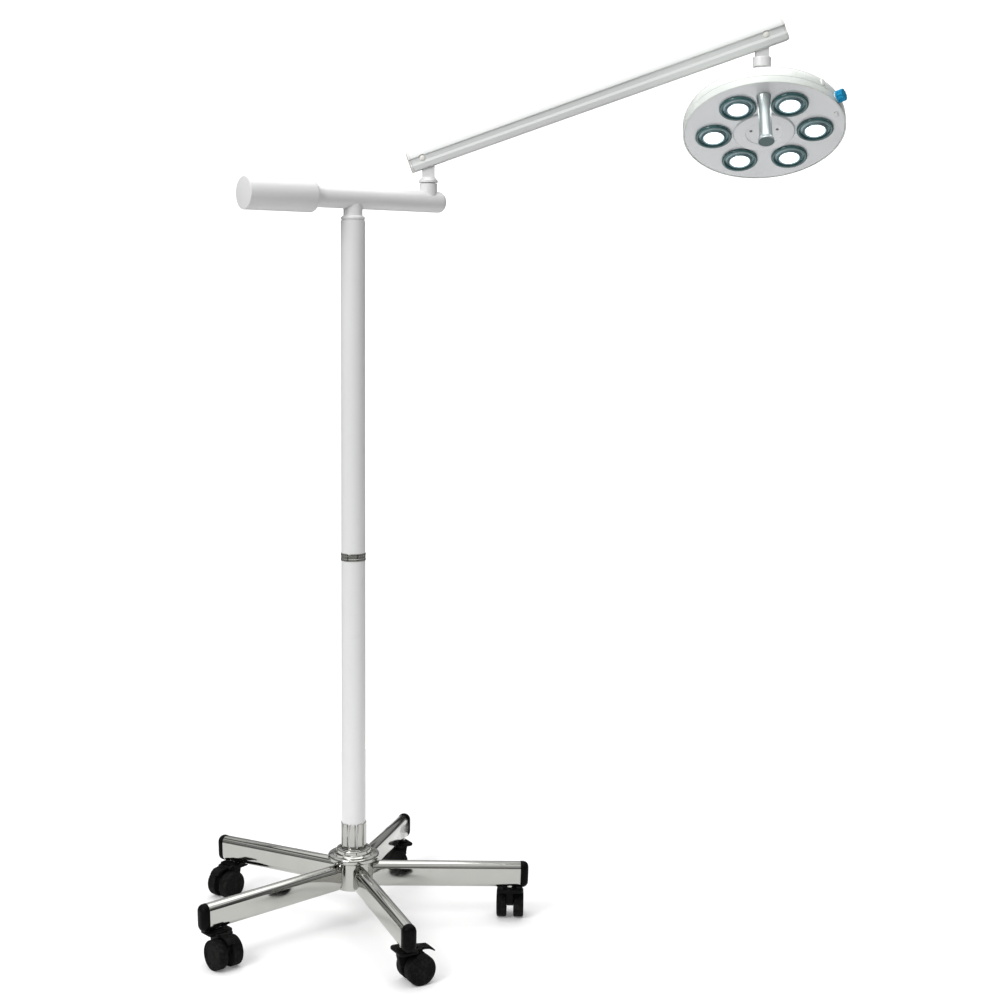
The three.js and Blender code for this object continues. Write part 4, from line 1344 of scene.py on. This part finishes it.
@dataclass
class Crossbar(Assembly):
    """What turns on the column: the neck, the bar with its stub, and the counterweight."""

    frame: Frame
    body: str = "crossbar"
    radius: float = 22.0
    wall: float = 2.5
    rise: float = 45.5
    reach: float = 222.0
    end_round: float = 11.0
    stub_at: float = 186.0
    stub_radius: float = 18.4
    stub_height: float = 38.3
    weight_radius: float = 33.0
    weight_near: float = 92.0
    weight_length: float = 158.0
    plug: float = 70.0
    bore: float = 12.85
    gap: float = 0.3

    def place(self) -> Place:
        """Returns the crossbar's frame, with +X towards the arm's post."""
        centre = self.frame.pivot("crossbar_swivel")
        return Place.at(centre, self.frame.pivot("post_swivel") - centre, Vector((0, 0, 1)))

    def neck_form(self) -> Form:
        """Makes the shaft, lip and neck, cut to sit round the bar.

        Returns:
            The form.
        """
        foot = 2 - self.rise
        neck = Form.turned(
            [
                (0, foot - 140), (20.6, foot - 140), (22.6, foot - 138), (22.6, foot),
                (24.0, foot), (24.5, foot + 0.5), (24.5, foot + 2.6),
                *arc(21.4, foot + 3.4, 3.0, 10, 62, 4), (19.9, foot + 7.6),
                (19.5, foot + 9), (19.5, 0), (0, 0),
            ],
            96,
        )
        return neck.less(rod(self.radius + self.gap, -80, 80, 96).along_x())

    def bar_form(self) -> Form:
        """Makes the hollow bar with its rounded end and the bored stub.

        Returns:
            The form.
        """
        start, corner = -(self.weight_near + self.plug), self.radius - self.end_round
        end = arc(corner, self.reach - self.end_round, self.end_round, 0, 90, 10)
        bar = Form.turned([(0, start), (self.radius, start), *end, (0, self.reach)], 96).along_x()
        hollow = rod(self.radius - self.wall, start - 5, self.reach - self.end_round).along_x()
        r, top = self.stub_radius, self.stub_height
        stub = Form.turned([(0, 0), (r, 0), (r, top - 0.8), (r - 0.8, top), (0, top)], 72)
        seat = rod(self.bore + 3, -11, top - 1).moved(x=self.stub_at)
        bar.joined(stub.moved(x=self.stub_at)).less(hollow).joined(seat)
        return bar.less(rod(self.bore, top - 46, top + 5).moved(x=self.stub_at))

    def weight_form(self) -> Form:
        """Makes the counterweight, with a blind bore that takes the bar's end.

        Returns:
            The form.
        """
        r, near = self.weight_radius, self.weight_near
        far, bore = near + self.weight_length, self.radius + self.gap
        weight = Form.turned(
            [
                (0, near + self.plug + self.gap), (bore, near + self.plug + self.gap),
                (bore, near), *arc(r - 9, near + 9, 9, 270, 360, 8),
                *arc(r - 1.6, far - 1.6, 1.6, 0, 90, 4), (0, far),
            ],
            96,
        )
        return weight.along_x().rolled(180, Axis.Z)

    def build(self) -> None:
        """Builds the crossbar."""
        place, white, slot = self.place(), Palette.white, "powder_white"
        self.piece("neck", self.neck_form(), place, white, slot, ("swivel_neck",))
        self.piece("bar", self.bar_form(), place, white, slot, ("crossbar",))
        self.piece("weight", self.weight_form(), place, white, slot, ("counterweight",))


@dataclass
class Arm(Assembly):
    """The post, the hollow arm with its caps and pins, the lamp's stem and the yoke."""

    frame: Frame
    body: str = "arm"
    span: float = 776.0
    tail: float = 30.0
    nose: float = 45.0
    depth: float = 44.0
    depth_lamp: float = 52.0
    width: float = 30.0
    wall: float = 2.5
    waist: float = 3.0
    cap: float = 5.0
    gap: float = 0.3
    post_slot: Point = (-21.0, 46.0)
    lamp_slot: Point = (-39.0, 30.0)
    slot_half: float = 8.3
    pin: float = 4.0
    pin_head: float = 6.6
    pin_hole: float = 4.18
    post_rise: float = 91.3
    post_back: float = 13.0
    post_shaft: float = 12.5
    post_collar: float = 19.8
    stem_back: float = 5.0
    stem_shaft: float = 8.0
    stem_collar: float = 19.2
    yoke_radius: float = 18.0
    strap: float = 13.0

    def arm_place(self) -> Place:
        """Returns the arm's frame: origin on the post pin, +X along the arm, +Z over it.

        Returns:
            The place.
        """
        start, end = self.frame.pivot("arm_tilt"), self.frame.pivot("stem_level")
        across = -self.frame.axis("arm_tilt")
        return Place.at(start, end - start, (end - start).cross(across))

    def level_place(self, joint: str) -> Place:
        """Returns an upright frame at a joint, with +X the way the arm points.

        Args:
            joint: the joint's name.

        Returns:
            The place.
        """
        across = -self.frame.axis("arm_tilt")
        up = Vector((0, 0, 1))
        return Place.at(self.frame.pivot(joint), across.cross(up), up)

    def growth(self, x: float) -> float:
        """Returns how much the section has grown at a distance from the post pin."""
        share = (x + self.tail) / (self.span + self.tail + self.nose)
        return 1 + (self.depth_lamp / self.depth - 1) * share

    def section(self, inset: float) -> list[Point]:
        """Returns the section at the post end as (across, up), taken in by an inset.

        Args:
            inset: how much smaller the section is on every side.

        Returns:
            The outline: sloping shoulders, an undercut groove, and a ridge below it.
        """
        side, top = self.width / 2, self.depth / 2
        half = [(0, top), (2.2, top), (3.8, top - 0.5), (7.6, top - 4.2), (11.2, top - 8.8)]
        half += [(14.0, top - 13.4), (side - 0.2, top - 15.4), (side, top - 16.2)]
        half += [(side - 0.3, top - 16.9), (12.5, top - 17.8), (12.1, top - 18.8), (12.0, -5.4)]
        half += [(12.3, -6.2), (14.2, -10.2), (14.4, -11.0), (14.2, -11.8), (13.6, -17.0)]
        half += [(12.6, 1.8 - top), (11.0, 0.5 - top), (8.5, -top)]
        across, up = (side - inset) / side, (top - inset) / top
        half = [(y * across, z * up) for y, z in half]
        return half + [(-y, z) for y, z in reversed(half[1:])]

    def stretch(self, start: float, end: float, inset: float) -> Form:
        """Makes a stretch of the arm, growing towards the lamp.

        Args:
            start: where it starts along the arm.
            end: where it ends.
            inset: how much smaller its section is on every side.

        Returns:
            The form.
        """
        form = Form.plate([(-z, y) for y, z in self.section(inset)], end - start)
        form.along_x().moved(x=start)
        for x in (start, end):
            ring = [v for v in form.mesh.verts if abs(v.co.x - x) < 1e-3]
            bmesh.ops.scale(form.mesh, verts=ring, vec=(1, self.growth(x), self.growth(x)))
        return form

    def tube_form(self) -> Form:
        """Makes the arm's shell with its slots, pin holes and head seats.

        Returns:
            The form.
        """
        start, end = self.cap + self.gap - self.tail, self.span + self.nose - self.cap - self.gap
        shell = self.stretch(start, end, 0).less(self.stretch(start - 9, end + 9, self.wall))
        for pin, (low, high) in ((0.0, self.post_slot), (self.span, self.lamp_slot)):
            deep = self.depth / 2 * self.growth(pin)
            slot = Form.block(
                (pin + low, -self.slot_half, -deep - 6), (pin + high, self.slot_half, 8 - deep)
            )
            seat = (self.width / 2 - self.waist) * self.growth(pin) - 0.5
            tools = [slot, rod(self.pin + self.gap, -30, 30, 32).along_y().moved(x=pin)]
            for side in (-1, 1):
                low_y, high_y = sorted((side * seat, side * (seat + 12)))
                recess = rod(self.pin_head + 0.9, low_y, high_y, 48).along_y()
                tools.append(recess.moved(x=pin))
            shell.less(*tools)
        return shell

    def cap_form(self, at_lamp: bool) -> Form:
        """Makes an end cap with a rounded edge and a spigot.

        Args:
            at_lamp: whether it closes the lamp's end.

        Returns:
            The form.
        """
        end, out = (self.span + self.nose, 1) if at_lamp else (-self.tail, -1)
        inner, outer = sorted((end - out * self.cap, end))
        plate = self.stretch(inner, outer, 0)
        rim = [e for e in plate.mesh.edges if all(abs(v.co.x - end) < 1e-3 for v in e.verts)]
        plate.rounded(rim, 1.8, 4)
        spigot = sorted((end - out * (self.cap + 8), end - out * (self.cap - 0.5)))
        plate.joined(self.stretch(spigot[0], spigot[1], self.wall + 0.4))
        near, far = sorted((end - out * (self.cap - 0.5), end - out * (self.cap + 10)))
        return plate.less(Form.block((near, -self.slot_half, -40), (far, self.slot_half, 0)))

    def pin_form(self, pin: float) -> Form:
        """Makes a pivot pin with a stepped, domed head on each side.

        Args:
            pin: the pin's distance along the arm.

        Returns:
            The form.
        """
        seat = (self.width / 2 - self.waist) * self.growth(pin) - 0.5 + self.gap
        head = self.pin_head
        half = [
            (self.pin, seat), (head, seat), (head, seat + 0.4), (head - 0.5, seat + 0.9),
            (5.0, seat + 0.9), (4.8, seat + 2.0), (4.0, seat + 2.9), (2.4, seat + 3.4),
            (0, seat + 3.5),
        ]
        mirrored = [(r, -h) for r, h in reversed(half)]
        return Form.turned(mirrored + half, 48).along_y()

    def tongue(self, outline: list[Point], thickness: float) -> Form:
        """Makes a flat tongue from an outline in X and Z, centred on Y."""
        form = Form.plate(outline, thickness).rolled(90, Axis.X).moved(y=thickness / 2)
        return form.softened(0.9, 3, 40)

    def post_form(self) -> Form:
        """Makes the post's shaft, collar and tongue. Its origin is the pivot pin.

        Returns:
            The form.
        """
        rise, shaft, collar = self.post_rise, self.post_shaft, self.post_collar
        foot, seat, top = -5.7 - rise, 40.1 - rise, 51.6 - rise
        shaft_side = [(0, foot), (shaft - 0.8, foot), (shaft, -4.9 - rise), (shaft, seat)]
        collar_side = [(collar - 0.6, seat), (collar, 40.7 - rise), (collar, 44.5 - rise)]
        collar_side += [(collar - 0.6, 45.3 - rise), (14.0, top), (0, top)]
        post = Form.turned(shaft_side + collar_side, 72).moved(x=self.post_back)
        outline = [(0, -46), (26, -46), (26, -16), *arc(0, 0, 11, 30, 190, 14), (0, -17)]
        hole = rod(self.pin_hole, -20, 20, 32).along_y()
        return post.joined(self.tongue(outline, 13)).less(hole)

    def stem_form(self) -> Form:
        """Makes the lamp's stem. Its origin is the lamp pin.

        Returns:
            The form.
        """
        shaft, collar, foot, seat = self.stem_shaft, self.stem_collar, -80.7, -66.9
        shaft_side = [(0, foot), (shaft - 0.8, foot), (shaft, -79.9), (shaft, seat)]
        collar_side = [(collar - 0.8, seat), (collar, -66.1), (collar, -48.4)]
        collar_side += [*arc(collar - 3, -48.2, 3.0, 10, 90, 5), (0, -45.2)]
        stem = Form.turned(shaft_side + collar_side, 72).moved(x=-self.stem_back)
        outline = [(-19, -46.2), (9, -46.2), (9, -14), *arc(0, 0, 12, -10, 190, 18), (-19, -19)]
        hole = rod(self.pin_hole, -20, 20, 32).along_y()
        return stem.joined(self.tongue(outline, 14)).less(hole)

    def yoke_form(self) -> Form:
        """Makes the yoke's crown, cheeks and tilt pin. Its origin is the tilt pin.

        Returns:
            The form.
        """
        r, half = self.yoke_radius, self.strap
        rim = [(r - 0.6, 31), (r, 31.6), (r, 45), (r - 2, 47)]
        crown = Form.turned([(0, 31), *rim, (0, 47)], 64)
        strap = [(-half, 0), *arc(0, 0, half, 180, 360, 16)[1:-1], (half, 0)]
        strap += [(half - 2, 32), (2 - half, 32)]
        for low in (-17.8, 12.8):
            cheek = Form.plate([(-z, y) for y, z in strap], 5).along_x().moved(x=low)
            crown.joined(cheek.softened(0.6, 2, 40))
        crown.joined(rod(self.pin, -16.8, 16.8, 32).along_x())
        return crown.less(rod(8.25, 33, 60, 40))

    def build(self) -> None:
        """Builds the post, the arm, the stem and the yoke, and dresses the spring."""
        arm, white = self.arm_place(), Palette.arm_white
        paint = Palette.white
        post = self.level_place("arm_tilt")
        self.piece("post", self.post_form(), post, paint, "powder_white", ("arm_post",), "post")
        self.piece("arm_shell", self.tube_form(), arm, white, "arm_white", ("arm_tube",))
        for name, at_lamp in (("arm_cap_post", False), ("arm_cap_lamp", True)):
            form, finish = self.cap_form(at_lamp), Palette.cap_white
            self.piece(name + "_end", form, arm, finish, "cap_white", (name,))
        for name, pin in (("pivot_pin_post", 0.0), ("pivot_pin_lamp", self.span)):
            form, place, cream = self.pin_form(pin), arm.moved(x=pin), Palette.cream
            self.piece(name + "_set", form, place, cream, "pin_cream", (name,))
        stem = self.level_place("stem_level")
        nodes = ("lamp_stem",)
        self.piece("stem", self.stem_form(), stem, paint, "powder_white", nodes, "stem")
        pivot, across = self.frame.pivot("head_tilt"), -self.frame.axis("head_tilt")
        yoke = Place.at(pivot, across, Vector((0, 0, 1)))
        nodes = ("head_yoke",)
        self.piece("yoke", self.yoke_form(), yoke, paint, "powder_white", nodes, "yoke")
        spring = self.frame.model["nodes"]["balance_spring"]
        spring.data.materials.clear()
        spring.data.materials.append(Palette.spring.material())


@dataclass
class Head(Assembly):
    """The dome, the face with its lit modules, the grip and the knob."""

    frame: Frame
    body: str = "head"
    radius: float = 170.0
    depth: float = 79.0
    band: float = 16.0
    crown: float = 2.5
    wall: float = 3.0
    knuckle: float = 31.0
    face: float = 4.0
    turn: float = 7.1
    modules: int = 6
    circle: float = 105.6
    bezel: float = 38.5
    neck: float = 32.4
    proud: float = 8.0
    lens: float = 19.8
    disc: float = 65.0
    handle_out: float = 122.0
    handle_length: float = 112.0
    knob_depth: float = 14.0
    knob_radius: float = 13.0
    knob_length: float = 15.0
    flutes: int = 10
    lug: float = 12.0
    lug_foot: float = 15.0
    lug_width: float = 24.0
    pin_hole: float = 4.18
    board: float = 156.0
    board_low: float = -30.0
    screw_circle: float = 29.0
    screw_turns: Point = (20.0, 160.0)
    gap: float = 0.3

    def place(self) -> Place:
        """Returns the head's frame: origin in the middle of the face, +Z out of it.

        Returns:
            The place.
        """
        along = -self.frame.axis("head_tilt")
        out = along.cross(self.frame.axis("knob_turn")).normalized()
        centre = self.frame.pivot("knob_turn") + out * self.knob_depth * 0.001
        return Place.at(centre, along, out)

    def knob_place(self) -> Place:
        """Returns the knob's frame, with +Z out along its spindle from the head's middle."""
        pivot, along = self.frame.pivot("knob_turn"), self.frame.axis("knob_turn")
        return Place.at(pivot, Vector((0, 0, 1)), along)

    def curve(self, wall: float, steps: int) -> list[Point]:
        """Returns the dome's curve as (radius, height), from the rim band to its top.

        Args:
            wall: how far the curve lies inside the outside.
            steps: how many steps to take.

        Returns:
            The points.
        """
        points = []
        for i in range(steps + 1):
            share = math.sin(math.radians(90 * i / steps)) ** (2 / self.crown)
            height = self.band + share * (self.depth - wall - self.band)
            left = max(0.0, 1 - share**self.crown) ** (1 / self.crown)
            points.append(((self.radius - wall) * left, -height))
        points[-1] = (0.0, points[-1][1])
        return points

    def dome_form(self) -> Form:
        """Makes the dome with its seam, ledge, knuckle and knob seat.

        Returns:
            The form.
        """
        r, inside = self.radius, self.radius - self.wall
        under = -self.face - self.gap
        outer = list(reversed(self.curve(0, 30)))
        seam = [(r, -self.band), (r - 0.7, 0.5 - self.band), (r - 0.7, 1.1 - self.band)]
        seam.append((r, 1.6 - self.band))
        rim = [*arc(r - 1.4, -0.4, 1.4, 0, 90, 5), (inside, 1.0), (inside, under)]
        rim += [(inside - 6, under), (inside, under - 6)]
        shell = Form.turned(outer[:-1] + seam + rim + self.curve(self.wall, 20), 144)
        pin = -self.depth - self.knuckle
        foot = 2.5 - self.depth
        r_lug, half = self.lug, self.lug_foot
        lug = [(-half, foot), (-r_lug, pin), *arc(0, pin, r_lug, 180, 360, 16)[1:-1]]
        lug += [(r_lug, pin), (half, foot)]
        ear = Form.plate([(-z, y) for y, z in lug], self.lug_width).along_x()
        ear.moved(x=-self.lug_width / 2).softened(0.9, 3, 40)
        bore = rod(self.pin_hole, -30, 30, 32).along_x().moved(z=pin)
        seat = self.radial(rod(11, r - 1.5, r + 1.5, 48))
        spindle = self.radial(rod(3.0, r - 9, r + 4, 24))
        return shell.joined(ear, seat).less(bore, spindle)

    def radial(self, form: Form) -> Form:
        """Lays a form made along Z on the knob's axis, in the head's frame.

        Args:
            form: the form, made along Z.

        Returns:
            The same form.
        """
        inverse = self.place().matrix.inverted() @ self.knob_place().matrix
        form.mesh.transform(inverse)
        return form

    def centres(self) -> list[Point]:
        """Returns the middles of the modules on the face."""
        step = 360 / self.modules
        return arc(0, 0, self.circle, self.turn, self.turn + 360 - step, self.modules - 1)

    def grip_centre(self) -> Point:
        """Returns the middle of the grip on the face."""
        return arc(0, 0, self.handle_out, self.turn + 90, self.turn + 90, 1)[0]

    def plate_form(self) -> Form:
        """Makes the face plate with its holes.

        Returns:
            The form.
        """
        edge = self.radius - self.wall - self.gap
        rim = [(edge, -self.face), (edge, -0.6), (edge - 0.6, 0)]
        plate = Form.turned([(0, -self.face), *rim, (0, 0)], 144)
        holes = [rod(self.neck + 0.5, -8, 5, 64).moved(x, y) for x, y in self.centres()]
        x, y = self.grip_centre()
        return plate.less(*holes, rod(5.4, -8, 5, 24).moved(x, y))

    def bezel_form(self) -> Form:
        """Makes one trim ring: a raised outer roll over a neck in the face plate.

        Returns:
            The form.
        """
        r, inner = self.bezel, self.bezel - 8.6
        return Form.turned(
            [
                (inner, -18), (self.neck, -18), (self.neck, self.gap), (r - 0.6, self.gap),
                (r, self.gap + 0.6), (r, 2.4), *arc(r - 3.9, 3.2, 3.9, 0, 140, 12),
                (r - 8.0, 3.2), (inner, 2.4),
            ],
            96,
        )

    def dish_form(self) -> Form:
        """Makes the bright dish inside a trim ring, which rises to a lip round the lens.

        Returns:
            The form.
        """
        outer, p, bore = self.bezel - 8.9, self.proud, self.lens + 0.8
        return Form.turned(
            [
                (bore, -16), (outer, -16), (outer, 2.2), (outer - 1.6, 2.5),
                (bore + 5.4, 0.45 * p), (bore + 3.4, 0.72 * p),
                *arc(bore + 1.7, p - 1.8, 1.7, 20, 160, 6), (bore, p - 2.6),
            ],
            96,
        )

    def lens_form(self) -> Form:
        """Makes the lens columns, each a little domed.

        Returns:
            The form.
        """
        lenses, top, r = Form(), self.proud, self.lens
        dome = [(r, top - 2.0), (r - 0.5, top - 1.2), (0.7 * r, top - 0.3), (0.4 * r, top)]
        profile = [(0, -23.7), (r, -23.7), *dome, (0, top + 0.1)]
        for x, y in self.centres():
            lenses.beside(Form.turned(profile, 64).moved(x, y))
        return lenses

    def disc_form(self) -> Form:
        """Makes the raised disc with its dished middle.

        Returns:
            The form.
        """
        r, g = self.disc, self.gap
        return Form.turned(
            [
                (0, g), (r - 0.8, g), (r, g + 0.7), *arc(r - 3.6, g + 1.0, 2.6, 30, 90, 4),
                (40.5, g + 3.6), *arc(39.6, g + 2.6, 1.0, 90, 150, 3), (38.2, g + 2.3),
                (37.6, g + 2.2), (0, g + 2.2),
            ],
            128,
        )

    def screw_form(self) -> Form:
        """Makes a small socket screw."""
        head = Form.turned([(0, 0), (3.2, 0), (3.2, 0.6), (2.7, 1.0), (0, 1.0)], 32)
        return head.less(rod(1.5, 0.3, 3, 6))

    def grip_form(self) -> Form:
        """Makes the grip: foot ring, tapered shaft, flared end with a recess.

        Returns:
            The form.
        """
        top = self.gap + self.handle_length
        return Form.turned(
            [
                (0, -9), (5, -9), (5, self.gap), (15.1, self.gap), (15.1, 2.4),
                *arc(14.3, 2.6, 0.8, 0, 80, 3), (13.9, 4.4), (13.3, 30), (13.2, 80),
                (13.4, top - 11), (14.4, top - 7), (16.4, top - 4.2), (17.0, top - 3.2),
                (17.0, top - 1.0), *arc(16.2, top - 0.8, 0.8, 0, 90, 3), (16.0, top),
                (16.0, top - 1.6), (0, top - 1.6),
            ],
            72,
        )

    def knob_form(self) -> Form:
        """Makes the knob: a fluted grip with a rounded end on a slim spindle.

        Returns:
            The form.
        """
        start = self.radius + 2.1
        grip = rod(self.knob_radius, start, start + self.knob_length, 60)
        for i in range(self.flutes):
            flute = rod(4.6, start + 3.5, start + 20, 20).moved(x=self.knob_radius + 3)
            grip.less(flute.rolled(360 / self.flutes * i, Axis.Z))
        grip.softened(0.7, 3, 35)
        return grip.joined(rod(2.8, start - 4.5, start + 1, 24))

    def clip_form(self, length: float, width: float, height: float) -> Form:
        """Makes a small rounded clip that stands on Z."""
        outline = rounded_box(length, width, min(length, width) / 2.05)
        return Form.plate(outline, height).softened(0.9, 3, 40)

    def build_clips(self, place: Place) -> None:
        """Builds the small white clips near the knob, on the dome and on the face.

        Args:
            place: the head's frame.
        """
        side = place.turned(52).moved(x=self.radius - 1.2, z=-26).turned(90, Axis.Y)
        form = self.clip_form(16, 9, 2.6)
        self.piece("dome_clip", form, side, Palette.clip, "housing_white")
        x, y = arc(0, 0, 154, 24, 24, 1)[0]
        spot = place.moved(x, y).turned(24)
        form = self.clip_form(9, 15, 2.2)
        self.piece("face_clip", form, spot, Palette.clip, "face_grey")

    def build_face(self, place: Place) -> None:
        """Builds the face plate, the disc and the modules.

        Args:
            place: the head's frame.
        """
        face = Palette.face
        self.piece("face_panel", self.plate_form(), place, face, "face_grey", ("face_plate",))
        self.piece("middle_disc", self.disc_form(), place, face, "face_grey", ("center_disc",))
        for i, turn in enumerate(self.screw_turns, 1):
            x, y = arc(0, 0, self.screw_circle, self.turn + turn, self.turn + turn, 1)[0]
            spot = place.moved(x, y, self.gap + 2.2)
            self.piece(f"disc_screw_{i}", self.screw_form(), spot, Palette.screw, "face_grey")
        bezel, dish = self.bezel_form(), self.dish_form()
        for i, (x, y) in enumerate(self.centres(), 1):
            spot, node = place.moved(x, y), (f"led_bezel_{i}",)
            self.piece(f"trim_ring_{i}", bezel, spot, Palette.bezel, "bezel_teal", node)
            self.piece(f"bright_dish_{i}", dish, spot, Palette.dish, "bezel_teal", node)
        spots = tuple(place.moved(x, y, self.proud) for x, y in self.centres())
        lit = LitLens("lit lens", (0.95, 0.95, 0.95), places=spots, radius=self.lens)
        self.piece("lenses", self.lens_form(), place, lit, "lens_white", ("led_engine",))
        board = rod(self.board, self.board_low, self.board_low + 6, 96)
        self.piece("module_board", board, place, Palette.board, "lens_white", ("led_engine",))

    def build(self) -> None:
        """Builds the head."""
        place = self.place()
        dome = Palette.housing
        self.piece("dome", self.dome_form(), place, dome, "housing_white", ("dome_housing",))
        self.build_face(place)
        self.build_clips(place)
        x, y = self.grip_centre()
        grip = place.moved(x, y)
        satin = BrushedMetal("grip satin", (0.60, 0.66, 0.66), place=grip)
        dark = BrushedMetal("grip end", (0.10, 0.15, 0.15), place=grip, metallic=0.6)
        self.piece("grip", self.grip_form(), grip, satin, "handle_satin", ("handle",))
        end = Form.turned([(0, 0), (15.8, 0), (15.8, 0.9), (15.2, 1.3), (0, 1.4)], 64)
        spot = grip.moved(z=self.gap + self.handle_length - 1.6)
        self.piece("grip_end_disc", end, spot, dark, "handle_satin")
        form, knob = self.knob_form(), self.knob_place()
        self.piece("dimmer_knob", form, knob, Palette.knob, "knob_blue", ("knob",), "knob")


# ------------------------------------------------------------------ setting


@dataclass(frozen=True)
class SoftBox:
    """A square soft light: its place from the column's foot and side in metres, its watts."""

    name: str
    at: tuple[float, float, float]
    size: float
    power: float


@dataclass
class Studio:
    """The plain setting: floor, soft lights and camera, placed from the column's foot."""

    base: StarBase
    eye: tuple[float, float, float] = (0.3034, -3.35, 1.2999)
    pitch: float = 4.0
    roll: float = 0.29
    lens: float = 58.5
    shift: float = -0.0793
    glow: float = 0.12
    floor_radius: float = 1.45
    floor_shift: float = 0.1
    sky_power: float = 1.35
    middle: tuple[float, float, float] = (0.3, 0, 1.2)
    boxes: tuple[SoftBox, ...] = (
        SoftBox("key", (-2.4, -3.2, 3.6), 2.0, 118),
        SoftBox("top", (0.2, 0.2, 5.4), 4.0, 80),
    )
    bands: tuple[Point, ...] = (
        (0.0, 0.20), (0.490, 0.25), (0.505, 0.02), (0.535, 0.03), (0.55, 0.26),
        (0.64, 0.34), (0.652, 0.05), (0.668, 0.05), (0.68, 0.45), (0.79, 0.65),
        (0.80, 0.12), (0.815, 0.12), (0.825, 0.85), (0.92, 0.95), (0.93, 0.35),
        (0.945, 0.35), (0.955, 1.0), (1.0, 1.0),
    )
    flags: tuple[Point, ...] = (
        (0.0, 0.9), (0.09, 1.0), (0.10, 0.15), (0.15, 0.15), (0.17, 1.0), (0.78, 0.9),
        (0.80, 0.25), (0.88, 0.2), (0.90, 0.8), (1.0, 0.7),
    )

    def camera(self) -> None:
        """Adds the camera."""
        data = bpy.data.cameras.new("camera")
        data.lens, data.sensor_width, data.shift_y = self.lens, 36.0, self.shift
        data.clip_end = 60
        camera = bpy.data.objects.new("camera", data)
        bpy.context.scene.collection.objects.link(camera)
        foot = self.base.column_place().matrix.translation
        tilt = Matrix.Rotation(math.radians(90 - self.pitch), 4, "X")
        lean = Matrix.Rotation(math.radians(self.roll), 4, "Z")
        camera.matrix_world = Matrix.Translation(foot + Vector(self.eye)) @ tilt @ lean
        bpy.context.scene.camera = camera

    def floor(self) -> None:
        """Adds the pale floor."""
        mesh = bpy.data.meshes.new("floor")
        made = bmesh.new()
        bmesh.ops.create_circle(made, cap_ends=True, radius=self.floor_radius, segments=96)
        bmesh.ops.translate(made, verts=made.verts[:], vec=(self.floor_shift, 0, 0))
        made.to_mesh(mesh)
        floor = bpy.data.objects.new("floor", mesh)
        bpy.context.scene.collection.objects.link(floor)
        graph = Coating("pale floor")
        cloud = graph.noise(graph.place(), 1.5, 2)
        tone = graph.mix(cloud, (0.90, 0.90, 0.90, 1), (0.87, 0.87, 0.87, 1))
        glow = {"Emission_Color": (1, 1, 1, 1), "Emission_Strength": self.glow}
        mesh.materials.append(graph.finish(Base_Color=tone, Roughness=0.7, **glow))
        floor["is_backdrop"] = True

    def light(self, box: SoftBox) -> None:
        """Adds a soft light that faces the lamp's middle.

        Args:
            box: the light to add.
        """
        data = bpy.data.lights.new(box.name, "AREA")
        data.size, data.energy = box.size, box.power
        lamp = bpy.data.objects.new(box.name, data)
        bpy.context.scene.collection.objects.link(lamp)
        foot = self.base.column_place().matrix.translation
        at, aim = foot + Vector(box.at), foot + Vector(self.middle)
        turn = (aim - at).to_track_quat("-Z", "Y").to_matrix().to_4x4()
        lamp.matrix_world = Matrix.Translation(at) @ turn

    def sky(self) -> None:
        """Sets a surround that the camera sees white and the chrome sees as strips."""
        world = bpy.data.worlds.new("studio")
        bpy.context.scene.world = world
        world.use_nodes = True
        graph = Graph(world.node_tree)
        way = graph.node("ShaderNodeTexCoord", {}, "Generated")
        height = graph.node("ShaderNodeSeparateXYZ", {0: way}, "Z")
        side = graph.node("ShaderNodeSeparateXYZ", {0: way}, "X")
        across = graph.ramp(graph.span(side, -1, 1), self.flags)
        level = graph.ramp(graph.span(height, -1, 1), self.bands)
        room = graph.node("ShaderNodeVectorMath", {0: level, 1: across}, operation="MULTIPLY")
        seen = graph.node("ShaderNodeLightPath", {}, "Is Camera Ray")
        colour = graph.mix(seen, room, (1, 1, 1, 1))
        backdrop = world.node_tree.nodes["Background"]
        graph.feed(backdrop.inputs["Color"], colour)
        graph.feed(backdrop.inputs["Strength"], self.sky_power)

    def build(self) -> None:
        """Builds the setting."""
        self.camera()
        self.floor()
        self.sky()
        for box in self.boxes:
            self.light(box)
        bpy.context.scene.view_settings.view_transform = "Standard"


def main() -> None:
    """Builds the lamp and its setting."""
    frame = Frame()
    base = StarBase(frame)
    base.build()
    Casters(frame).build()
    Column(base).build()
    Crossbar(frame).build()
    Arm(frame).build()
    Head(frame).build()
    Studio(base).build()


if __name__ == "__main__":
    main()
